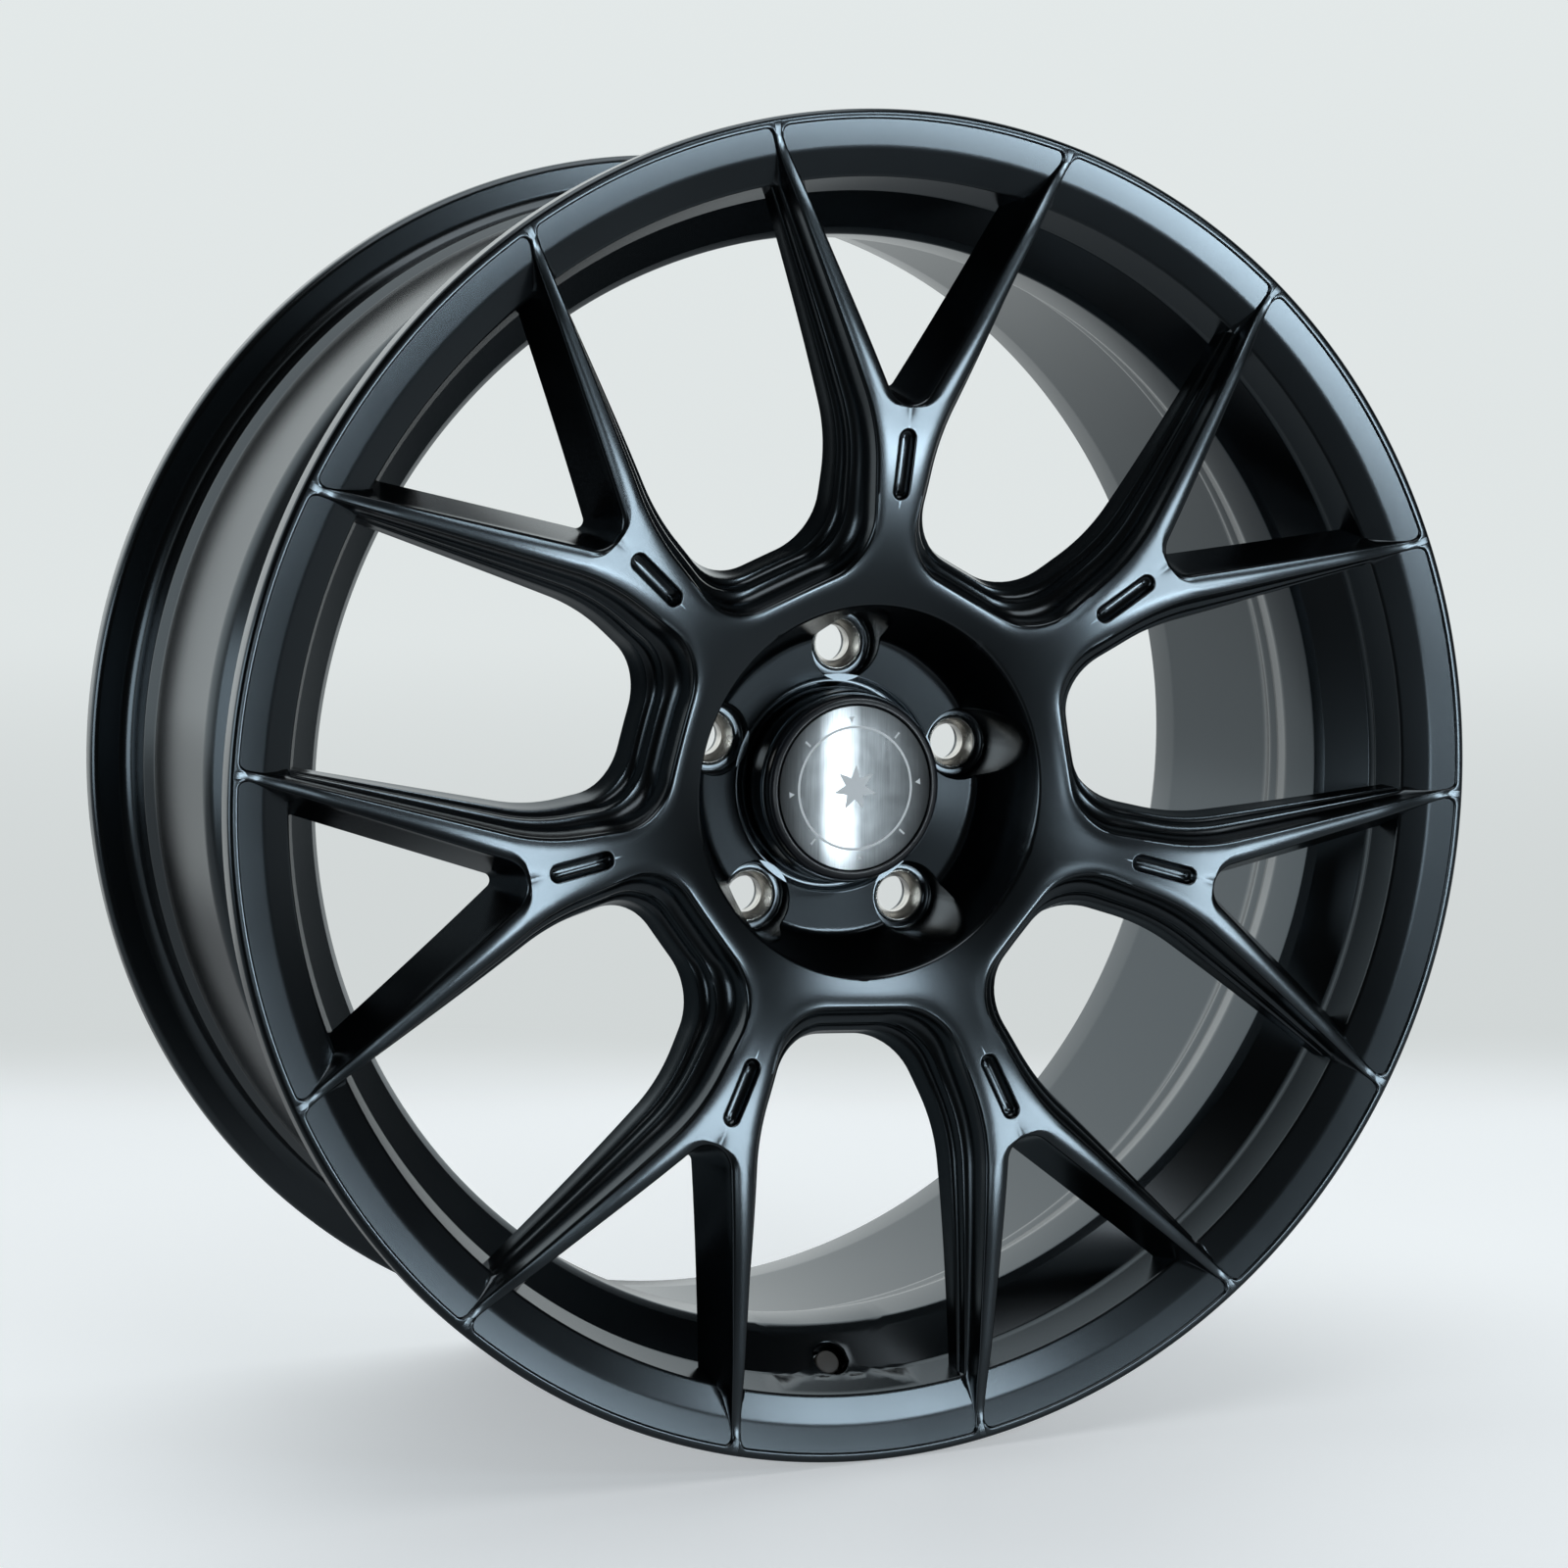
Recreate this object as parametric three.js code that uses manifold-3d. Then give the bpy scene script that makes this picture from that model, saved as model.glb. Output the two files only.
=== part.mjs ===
// Forged racing wheel rim, 19 x 8.5J, offset 45, five lugs on a 112 mm circle, seven Y spokes.
// Millimetres, +Z up. The axle lies along Y and the styled face looks towards -Y. The origin is
// the middle of the wheel, so it stands on its two flanges. A "depth" is measured from the front
// lip towards the back, and an angle is measured clockwise from the top, seen from the front.
import * as THREE from 'three';
import { mergeVertices } from 'three/addons/utils/BufferGeometryUtils.js';
import Module from 'manifold-3d';

const wasm = await Module();
wasm.setup();

// Rim
const BEAD_SEAT_DIAMETER = 487.4; // nominal 19 inch seat
const RIM_WIDTH = 215.9; // 8.5 inches between the flanges
const FLANGE_HEIGHT = 17.3; // J contour
const FLANGE_THICKNESS = 12.05;
const LIP_ROUNDING = 3.8; // flange edge in to the crest of the front lip
const BARREL_WALL = 6;
const WELL_DEPTH = 21.2; // bead seat down to the drop well
const POCKET_DEPTH = 8.6; // fall of the pockets between the spoke tips
const POCKET_WIDTH = 19.6; // lip crest in to the pocket step
const BAND_STEP = 5.3; // pocket step in to the sloped band behind it
const BAND_SLOPE = 1.06; // depth of the sloped band for each millimetre inwards
const LEDGE_DROP = 24.6; // bead seat down to the band's inner edge
const LEDGE_DEPTH = 41;

const WIDTH = RIM_WIDTH + 2 * FLANGE_THICKNESS;
const SEAT_R = BEAD_SEAT_DIAMETER / 2;
const FLANGE_R = SEAT_R + FLANGE_HEIGHT;
const LIP_R = FLANGE_R - LIP_ROUNDING;
const WELL_R = SEAT_R - WELL_DEPTH;
const LEDGE_R = SEAT_R - LEDGE_DROP;

// Hub
const OFFSET = 45;
const CENTRE_BORE = 66.5;
const LUG_COUNT = 5;
const LUG_CIRCLE = 112;
const HUB_PAD_MARGIN = 21; // hub pad beyond the lug circle
const LUG_POCKET_RADIUS = 14;
const BOWL_MARGIN = 16.8; // bowl's front edge beyond the lug circle
const BOWL_FLOOR_MARGIN = 2.3; // bowl's floor beyond the lug circle
const BOWL_DEPTH = 19.3;
const SEAT_WEB = 15; // metal from the lug seats to the hub face
const LUG_PAD_WEB = 22;
const GROOVE_WEB = 14.5;
const NOSE_LENGTH = 33.7; // hub face to the seat of the centre cap
const NOSE_WALL = 3.95;

const HUB_FACE_DEPTH = WIDTH / 2 - OFFSET;
const HUB_PAD_R = LUG_CIRCLE / 2 + HUB_PAD_MARGIN;
const BOWL_R = LUG_CIRCLE / 2 + BOWL_MARGIN;
const BOWL_FLOOR_R = LUG_CIRCLE / 2 + BOWL_FLOOR_MARGIN;
const LUG_SEAT_DEPTH = HUB_FACE_DEPTH - SEAT_WEB;
const LUG_PAD_DEPTH = HUB_FACE_DEPTH - LUG_PAD_WEB;
const GROOVE_DEPTH = HUB_FACE_DEPTH - GROOVE_WEB;
const NOSE_DEPTH = HUB_FACE_DEPTH - NOSE_LENGTH;
const NOSE_R = CENTRE_BORE / 2 + NOSE_WALL;

// Spokes
const SPOKE_COUNT = 7;
const STANDING_SPIN = 3; // how far the wheel is turned on its axle as it stands, degrees
const FACE_FLAT_WIDTH = 71; // how far in from the flange edge the spoke faces are flat
const FACE_FLAT_DEPTH = 0.8;
const DISH_POWER = 2.2;
const TIP_THICKNESS = 20;
const HUB_END_RING = 12.4; // metal from the bowl's edge to a window's inner end
const WINDOW_HALF_WIDTH = 49.4;
const WINDOW_LIP_FLARE = 1.4; // extra half width at the lip
const WINDOW_TAPER_LENGTH = 47.5; // inner end out to where the sides turn parallel
const WINDOW_TAPER = 19.2; // degrees
const WINDOW_END_FILLET = 24;
const WINDOW_SHOULDER_FILLET = 60;
const WINDOW_STEPS = [ // each deeper part of a window is smaller by its inset
  { inset: 0, depth: 15 },
  { inset: 6.5, depth: 27 },
  { inset: 12.5, depth: 80 },
];
const FORK_APEX = 139.5; // radius where the two sides of a V window would meet
const FORK_HALF_ANGLE = 28.7;
const FORK_FILLET = 10.1;
const FORK_DRAFT = 9.1; // how much smaller a V window is at its back
const FORK_DRAFT_DEPTH = 32;
const SLOT_TO_APEX = 12.1; // middle of a slot in from the V window's apex
const SLOT_LENGTH = 27;
const SLOT_WIDTH = 6.6;
const SLOT_DEPTH = 4;

const PITCH = (2 * Math.PI) / SPOKE_COUNT;
const WINDOW_END = BOWL_R + HUB_END_RING;
const WINDOW_SHOULDER = WINDOW_END + WINDOW_TAPER_LENGTH;
const FACE_FLAT_R = FLANGE_R - FACE_FLAT_WIDTH;

// Lug seats
const SEAT_OUTER_RADIUS = 10.5;
const SEAT_BORE_RADIUS = 7.2;
const SEAT_CONE_RADIUS = 10.1;
const SEAT_CONE_DEPTH = 5;
const SEAT_LENGTH = 10.7;
const BOLT_HOLE_RADIUS = 8.2;

// Centre cap
const CAP_PROUD = 5.6; // front of the cap's rim ahead of its seat
const CAP_CHAMFER = 1;
const BADGE_MARGIN = 4.2; // width of the cap's rim round the badge
const BADGE_THICKNESS = 0.8;
const BADGE_RECESS = 0.2;
const PAD_THICKNESS = 0.9;
const PAD_MARGIN = 2.7;
const CAP_FLOOR_THICKNESS = 2.2;
const SKIRT_LENGTH = 17;
const SKIRT_WALL = 2;
const LEG_COUNT = 6;
const LEG_GAP = 7;
const LEG_ROOT = 4; // whole skirt ahead of the legs
const RING_WIRE_RADIUS = 0.9;
const RING_FROM_END = 4;

// Valve, measured along its own axis: 0 at the sloped band, negative into the rim
const VALVE_DROP = 16.1; // bead seat down to the point 0
const VALVE_FROM_LEDGE = 9;
const VALVE_TILT = 35; // degrees from the axle direction
const VALVE_WELL_FLOOR = -15.5;
const VALVE_WELL_CLEARANCE = 1.15; // round the nut's corners
const VALVE_WEB = 4.3;
const VALVE_SPOT_CLEARANCE = 3; // round the stem's head
const STEM_RADIUS = 4.1;
const STEM_TOP = -6.8;
const STEM_BORE_SHARE = 0.634; // of the stem's radius
const STEM_AIR_RADIUS = 1.5;
const STEM_FLANGE = 2.9; // head of the stem beyond its shank
const STEM_HEAD_THICKNESS = 2.5;
const GROMMET_THICKNESS = 2.5;
const WASHER_THICKNESS = 0.8;
const WASHER_WIDTH = 2.2;
const NUT_THICKNESS = 2.5;
const NUT_WALL = 1.1; // hole to flat
const VALVE_CAP_WALL = 0.6;
const VALVE_CAP_TOP = -3.8;
const VALVE_CAP_ROOF = 1.1;
const VALVE_CAP_CHAMFER = 0.5;
const CAP_SEAL_THICKNESS = 1.2;
const CAP_SEAL_HOLE_RADIUS = 1.2;
const CORE_BORE_SHARE = 0.761; // of the core's radius
const CORE_LENGTH = 7;
const CORE_RECESS = 0.6; // below the end of the stem
const PIN_SHARE = 0.343; // of the core's bore
const PIN_CUP_THICKNESS = 1.2;
const PIN_TRAVEL_ROOM = 4;
const SPRING_WIRE_SHARE = 0.348; // of the room between pin and core
const SPRING_TURNS = 5;

const GAP = 0.3; // between pieces that touch
const SEGMENTS = 56; // a flat lies under each flange, so the wheel can stand
const CAP_SEGMENTS = 42;
const SMALL_SEGMENTS = 24;
const DISH_STEPS = 5;
const BEYOND = 15; // how far a cutter runs past what it cuts

const rad = THREE.MathUtils.degToRad;

// ---------------------------------------------------------------- shared helpers

function toSolid(geometry) {
  const bare = geometry.clone();
  bare.deleteAttribute('normal');
  bare.deleteAttribute('uv');
  const merged = mergeVertices(bare, 1e-4);
  return new wasm.Manifold(new wasm.Mesh({
    numProp: 3,
    vertProperties: merged.attributes.position.array,
    triVerts: new Uint32Array(merged.index.array),
  }));
}

function toGeometry(solid) {
  const mesh = solid.getMesh();
  const geometry = new THREE.BufferGeometry();
  geometry.setAttribute('position', new THREE.BufferAttribute(mesh.vertProperties, 3));
  geometry.setIndex(new THREE.BufferAttribute(mesh.triVerts, 1));
  geometry.computeVertexNormals();
  return geometry;
}

// A closed profile of [radius, height] corners turned about the Y axis.
function turned(profile, segments, start = 0) {
  const points = [...profile, profile[0]].map(([r, h]) => new THREE.Vector2(r, h));
  return new THREE.LatheGeometry(points, segments, start);
}

// A ring, or a disc where inner is 0, between two heights on the Y axis.
function ring(outer, inner, low, high, segments = SMALL_SEGMENTS) {
  return turned([[outer, low], [outer, high], [inner, high], [inner, low]], segments);
}

// The wheel's own pieces: the profile's heights are depths.
function turnedWheel(profile, segments = SEGMENTS) {
  const start = -rad(STANDING_SPIN) - Math.PI / segments;
  return turned(profile, segments, start).translate(0, -WIDTH / 2, 0);
}

// A shape drawn as seen from the front, cut from one depth to another.
function slab(shape, front, back, options = {}) {
  const geometry = new THREE.ExtrudeGeometry(shape, {
    depth: back - front,
    bevelEnabled: false,
    curveSegments: 3,
    ...options,
  });
  return geometry.rotateX(Math.PI / 2).translate(0, back - WIDTH / 2, 0);
}

// A closed outline through corners [x, y, fillet], listed counter-clockwise.
function outline(corners) {
  const shape = new THREE.Shape();
  corners.forEach(([x, y, fillet], i) => {
    const here = new THREE.Vector2(x, y);
    const [px, py] = corners.at(i - 1);
    const [nx, ny] = corners[(i + 1) % corners.length];
    const back = new THREE.Vector2(px, py).sub(here).normalize();
    const ahead = new THREE.Vector2(nx, ny).sub(here).normalize();
    if (!fillet) {
      if (i === 0) shape.moveTo(x, y);
      else shape.lineTo(x, y);
      return;
    }
    const half = Math.acos(back.dot(ahead)) / 2;
    const middle = back.clone().add(ahead).normalize();
    const centre = here.clone().addScaledVector(middle, fillet / Math.sin(half));
    const touch = fillet / Math.tan(half);
    const from = here.clone().addScaledVector(back, touch).sub(centre);
    const to = here.clone().addScaledVector(ahead, touch).sub(centre);
    const clockwise = back.cross(ahead) > 0;
    shape.absarc(centre.x, centre.y, fillet, from.angle(), to.angle(), clockwise);
  });
  return shape;
}

function around(geometry, angle) {
  return geometry.clone().rotateY(angle);
}

function piece(name, geometry, colour, roughness, metalness) {
  const material = new THREE.MeshStandardMaterial({ color: colour, roughness, metalness });
  const mesh = new THREE.Mesh(geometry, material);
  mesh.name = name;
  return mesh;
}

// ---------------------------------------------------------------- the forging

// Rim ring: lip, bead seats with their humps, drop well, and the pockets and band of the front.
function rimRing() {
  const inner = WELL_R - BARREL_WALL;
  const rear = SEAT_R - 2.5; // outside of the rear barrel
  const rearInner = rear - BARREL_WALL;
  const step = LIP_R - POCKET_WIDTH;
  const band = step - BAND_STEP;
  const frontFace = FLANGE_THICKNESS; // the faces that the tyre's beads rest on
  const rearFace = WIDTH - FLANGE_THICKNESS;
  return turnedWheel([
    [LIP_R, 0],
    [FLANGE_R - 1.2, 1],
    [FLANGE_R, 3.6],
    [FLANGE_R, frontFace - 3.5],
    [FLANGE_R - 3.2, frontFace],
    [SEAT_R + 6.5, frontFace],
    [SEAT_R + 1.9, frontFace + 1.9],
    [SEAT_R, frontFace + 6.5],
    [SEAT_R - 1.2, frontFace + 20.5],
    [SEAT_R, frontFace + 24.5],
    [SEAT_R - 1.5, LEDGE_DEPTH + 7],
    [WELL_R, LEDGE_DEPTH + 31],
    [WELL_R, LEDGE_DEPTH + 48],
    [rear, LEDGE_DEPTH + 72],
    [rear, rearFace - 30],
    [SEAT_R, rearFace - 24.5],
    [SEAT_R - 1.2, rearFace - 20.5],
    [SEAT_R, rearFace - 6.5],
    [SEAT_R + 1.9, rearFace - 1.9],
    [SEAT_R + 6.5, rearFace],
    [FLANGE_R - 3.2, rearFace],
    [FLANGE_R, rearFace + 3.5],
    [FLANGE_R, WIDTH - 3.6],
    [FLANGE_R - 4, WIDTH],
    [FLANGE_R - 8.5, WIDTH],
    [FLANGE_R - 10.7, WIDTH - 1.4],
    [rearInner + 1.8, rearFace - 11],
    [rearInner, rearFace - 32],
    [rearInner, LEDGE_DEPTH + 75],
    [inner, LEDGE_DEPTH + 49],
    [inner, LEDGE_DEPTH + 9],
    [LEDGE_R, LEDGE_DEPTH],
    [band, LEDGE_DEPTH - (band - LEDGE_R) * BAND_SLOPE],
    [band, POCKET_DEPTH + 7],
    [step, POCKET_DEPTH],
    [LIP_R - POCKET_WIDTH / 2, POCKET_DEPTH / 2],
  ]);
}

// Depth of the spoke faces: a dish that flattens towards the lip.
function faceDepth(radius) {
  const left = Math.max(0, 1 - (radius - BOWL_R) / (FACE_FLAT_R - BOWL_R));
  return FACE_FLAT_DEPTH + (BOWL_DEPTH - FACE_FLAT_DEPTH) * left ** DISH_POWER;
}

// Hub and spokes as one dished disc, before its windows are cut.
function faceDisc() {
  const bore = CENTRE_BORE / 2;
  const tip = SEAT_R - 7.7; // where the spokes run into the rim
  const root = HUB_PAD_R + 31; // where they run into the hub's flank
  const back = (share) => THREE.MathUtils.lerp(root, tip - 31, share);
  const dish = [];
  for (let i = 0; i <= DISH_STEPS; i += 1) {
    const radius = THREE.MathUtils.lerp(BOWL_R, FACE_FLAT_R, i / DISH_STEPS);
    dish.push([radius, faceDepth(radius)]);
  }
  return turnedWheel([
    [LIP_R + 0.4, FACE_FLAT_DEPTH],
    [LIP_R + 0.4, FLANGE_THICKNESS - 4],
    [tip + 2, FLANGE_THICKNESS],
    [tip, TIP_THICKNESS],
    [back(1), TIP_THICKNESS],
    [back(0.72), TIP_THICKNESS + 2.5],
    [back(0.33), TIP_THICKNESS + 12],
    [back(0), TIP_THICKNESS + 20],
    [HUB_PAD_R + 22, HUB_FACE_DEPTH - 30],
    [HUB_PAD_R + 6, HUB_FACE_DEPTH - 13],
    [HUB_PAD_R, HUB_FACE_DEPTH],
    [bore, HUB_FACE_DEPTH],
    [bore, NOSE_DEPTH],
    [NOSE_R, NOSE_DEPTH],
    [NOSE_R + 1.2, NOSE_DEPTH + 1.7],
    [NOSE_R + 2.1, GROOVE_DEPTH],
    [NOSE_R + 6, GROOVE_DEPTH],
    [NOSE_R + 6.9, LUG_PAD_DEPTH + 1],
    [BOWL_FLOOR_R, LUG_PAD_DEPTH],
    [BOWL_FLOOR_R + 2.5, LUG_PAD_DEPTH - 3],
    ...dish,
  ]);
}

// A big window's outline at one inset, with the window upright at the top of the wheel.
function windowOutline(inset) {
  const taper = Math.tan(rad(WINDOW_TAPER));
  const end = WINDOW_END + inset;
  const out = FLANGE_R + BEYOND;
  const shoulderX = WINDOW_HALF_WIDTH - inset / 2;
  const lipX = WINDOW_HALF_WIDTH + WINDOW_LIP_FLARE - inset / 7;
  const shoulderZ = WINDOW_SHOULDER + inset / 2;
  const endX = shoulderX - (shoulderZ - end) * taper;
  const fillet = WINDOW_END_FILLET - inset / 2;
  return outline([
    [-endX, end, fillet],
    [endX, end, fillet],
    [shoulderX, shoulderZ, WINDOW_SHOULDER_FILLET],
    [lipX, out, 0],
    [-lipX, out, 0],
    [-shoulderX, shoulderZ, WINDOW_SHOULDER_FILLET],
  ]);
}

// The stepped window between two spokes, all its levels in one cutter.
function windowCutter() {
  const levels = WINDOW_STEPS.map(({ inset, depth }) => (
    toSolid(slab(windowOutline(inset), -BEYOND, depth))
  ));
  return wasm.Manifold.union(levels);
}

// The V window in a spoke's fork, wider at the front.
function forkCutter() {
  const out = FLANGE_R + BEYOND;
  const halfWidth = (out - FORK_APEX) * Math.tan(rad(FORK_HALF_ANGLE));
  const shape = outline([
    [0, FORK_APEX, FORK_FILLET],
    [halfWidth, out, 0],
    [-halfWidth, out, 0],
  ]);
  return toSolid(slab(shape, -1, 0, {
    bevelEnabled: true,
    bevelThickness: FORK_DRAFT_DEPTH,
    bevelSize: FORK_DRAFT,
    bevelOffset: -FORK_DRAFT,
    bevelSegments: 1,
  }));
}

// The blind pill slot in a spoke's stem.
function slotCutter() {
  const middle = FORK_APEX - SLOT_TO_APEX;
  const half = SLOT_LENGTH / 2;
  const side = SLOT_WIDTH / 2;
  const fillet = side * 0.995; // a whole half circle would leave ends of no length
  const shape = outline([
    [-side, middle - half, fillet],
    [side, middle - half, fillet],
    [side, middle + half, fillet],
    [-side, middle + half, fillet],
  ]);
  const floor = faceDepth(middle) + SLOT_DEPTH;
  return toSolid(slab(shape, -BEYOND, floor, { curveSegments: 2 }));
}

// One lug hole at the top: drafted pocket, bore for the seat and bolt hole.
function lugCutter() {
  const seatBore = SEAT_OUTER_RADIUS + GAP;
  const shoulder = LUG_SEAT_DEPTH + SEAT_LENGTH + GAP;
  return toSolid(turned([
    [0, BOWL_DEPTH - BEYOND],
    [LUG_POCKET_RADIUS + 2, BOWL_DEPTH],
    [LUG_POCKET_RADIUS, LUG_SEAT_DEPTH],
    [seatBore, LUG_SEAT_DEPTH],
    [seatBore, shoulder],
    [BOLT_HOLE_RADIUS, shoulder],
    [BOLT_HOLE_RADIUS, HUB_FACE_DEPTH + BEYOND],
    [0, HUB_FACE_DEPTH + BEYOND],
  ], SMALL_SEGMENTS).translate(0, -WIDTH / 2, LUG_CIRCLE / 2));
}

// The valve's frame: Y runs along the valve, out of the rim.
function valveFrame() {
  const frame = new THREE.Group();
  frame.position.set(0, LEDGE_DEPTH - VALVE_FROM_LEDGE - WIDTH / 2, VALVE_DROP - SEAT_R);
  frame.rotation.x = Math.PI - rad(VALVE_TILT);
  frame.updateMatrix();
  return frame;
}

function nutCornerRadius() {
  return (STEM_RADIUS + GAP + NUT_WALL) / Math.cos(Math.PI / 6);
}

// Counterbore for the cap and nut, hole for the stem and spot face on the tyre side.
function valveCutter() {
  const webBack = VALVE_WELL_FLOOR - VALVE_WEB;
  const spot = STEM_RADIUS + STEM_FLANGE + VALVE_SPOT_CLEARANCE;
  const well = nutCornerRadius() + VALVE_WELL_CLEARANCE;
  return toSolid(turned([
    [0, webBack - BEYOND],
    [spot, webBack - BEYOND],
    [spot, webBack],
    [STEM_RADIUS + GAP, webBack],
    [STEM_RADIUS + GAP, VALVE_WELL_FLOOR],
    [well, VALVE_WELL_FLOOR],
    [well, BEYOND],
    [0, BEYOND],
  ], SMALL_SEGMENTS).applyMatrix4(valveFrame().matrix));
}

function wheelForging() {
  const cuts = [valveCutter()];
  const face = [];
  for (let i = 0; i < SPOKE_COUNT; i += 1) {
    const spoke = THREE.MathUtils.radToDeg(i * PITCH);
    const gap = THREE.MathUtils.radToDeg((i + 0.5) * PITCH);
    face.push(forkCutter().rotate([0, spoke, 0]));
    face.push(windowCutter().rotate([0, gap, 0]));
    face.push(slotCutter().rotate([0, spoke, 0]));
  }
  for (let i = 0; i < LUG_COUNT; i += 1) {
    cuts.push(lugCutter().rotate([0, (i * 360) / LUG_COUNT, 0]));
  }
  const disc = toSolid(faceDisc()).subtract(wasm.Manifold.union(face));
  const whole = disc.add(toSolid(rimRing())).subtract(wasm.Manifold.union(cuts));
  return piece('wheel_forging', toGeometry(whole), 0x1b1f26, 0.42, 0.6);
}

// ---------------------------------------------------------------- lug seats

// A pressed-in steel seat with a 60 degree cone for the lug bolt.
function lugSeat(index) {
  const low = LUG_SEAT_DEPTH;
  const geometry = turned([
    [SEAT_OUTER_RADIUS, low],
    [SEAT_OUTER_RADIUS, low + SEAT_LENGTH],
    [SEAT_BORE_RADIUS, low + SEAT_LENGTH],
    [SEAT_BORE_RADIUS, low + SEAT_CONE_DEPTH],
    [SEAT_CONE_RADIUS, low],
  ], SMALL_SEGMENTS).translate(0, -WIDTH / 2, LUG_CIRCLE / 2);
  const angle = (index * 2 * Math.PI) / LUG_COUNT;
  return piece(`lug_seat_${index + 1}`, around(geometry, angle), 0xc9ccd0, 0.25, 1);
}

// ---------------------------------------------------------------- centre cap

function centreCap() {
  const rim = NOSE_R - GAP;
  const badgeRadius = rim - BADGE_MARGIN;
  const front = NOSE_DEPTH - CAP_PROUD;
  const badgeFront = front + BADGE_RECESS;
  const padFront = badgeFront + BADGE_THICKNESS + GAP;
  const floor = padFront + PAD_THICKNESS + GAP;
  const flangeBack = NOSE_DEPTH - GAP;
  const skirt = CENTRE_BORE / 2 - GAP;
  const skirtEnd = flangeBack + SKIRT_LENGTH;
  const shell = toSolid(turnedWheel([
    [0, floor],
    [badgeRadius + GAP, floor],
    [badgeRadius + GAP, front],
    [rim - CAP_CHAMFER, front],
    [rim, front + CAP_CHAMFER],
    [rim, flangeBack],
    [skirt, flangeBack],
    [skirt, skirtEnd],
    [skirt - SKIRT_WALL, skirtEnd],
    [skirt - SKIRT_WALL, floor + CAP_FLOOR_THICKNESS],
    [0, floor + CAP_FLOOR_THICKNESS],
  ], CAP_SEGMENTS));
  const slotFront = flangeBack + LEG_ROOT;
  const slotLength = skirtEnd - slotFront + 1;
  const slots = [];
  for (let i = 0; i < LEG_COUNT / 2; i += 1) {
    const slot = new THREE.BoxGeometry(LEG_GAP, slotLength, CENTRE_BORE);
    slot.translate(0, slotFront + slotLength / 2 - WIDTH / 2, 0);
    slots.push(toSolid(around(slot, (i * 2 * Math.PI) / LEG_COUNT)));
  }
  const legged = shell.subtract(wasm.Manifold.union(slots));
  const ringRadius = skirt - SKIRT_WALL - GAP - RING_WIRE_RADIUS;
  const springRing = new THREE.TorusGeometry(ringRadius, RING_WIRE_RADIUS, 6, 36);
  springRing.rotateX(Math.PI / 2).translate(0, skirtEnd - RING_FROM_END - WIDTH / 2, 0);
  const badge = ring(badgeRadius, 0, badgeFront, badgeFront + BADGE_THICKNESS, CAP_SEGMENTS);
  const pad = ring(badgeRadius - PAD_MARGIN, 0, padFront, padFront + PAD_THICKNESS, CAP_SEGMENTS);
  const cap = new THREE.Group();
  cap.add(piece('centre_cap_shell', toGeometry(legged), 0x121417, 0.35, 0.1));
  cap.add(piece('centre_cap_badge', badge.translate(0, -WIDTH / 2, 0), 0xb9bdc2, 0.3, 1));
  cap.add(piece('centre_cap_adhesive_pad', pad.translate(0, -WIDTH / 2, 0), 0xdedbd2, 0.9, 0));
  cap.add(piece('centre_cap_spring_ring', springRing, 0x9a9ca0, 0.35, 1));
  return cap;
}

// ---------------------------------------------------------------- valve

function hexNut(low) {
  const body = toSolid(ring(nutCornerRadius(), 0, low, low + NUT_THICKNESS, 6));
  const hole = toSolid(ring(STEM_RADIUS + GAP, 0, low - 1, low + NUT_THICKNESS + 1));
  return toGeometry(body.subtract(hole));
}

// The spring wound between the valve core's pin and its body.
function coreSpring(mean, wire, low, high) {
  const steps = SPRING_TURNS * 10;
  const points = [];
  for (let i = 0; i <= steps; i += 1) {
    const turn = (i / steps) * SPRING_TURNS * 2 * Math.PI;
    const height = THREE.MathUtils.lerp(low, high, i / steps);
    points.push(new THREE.Vector3(mean * Math.cos(turn), height, mean * Math.sin(turn)));
  }
  const section = new THREE.Shape().absarc(0, 0, wire, 0, 2 * Math.PI);
  return new THREE.ExtrudeGeometry(section, {
    steps,
    curveSegments: 3,
    extrudePath: new THREE.CatmullRomCurve3(points),
  });
}

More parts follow.
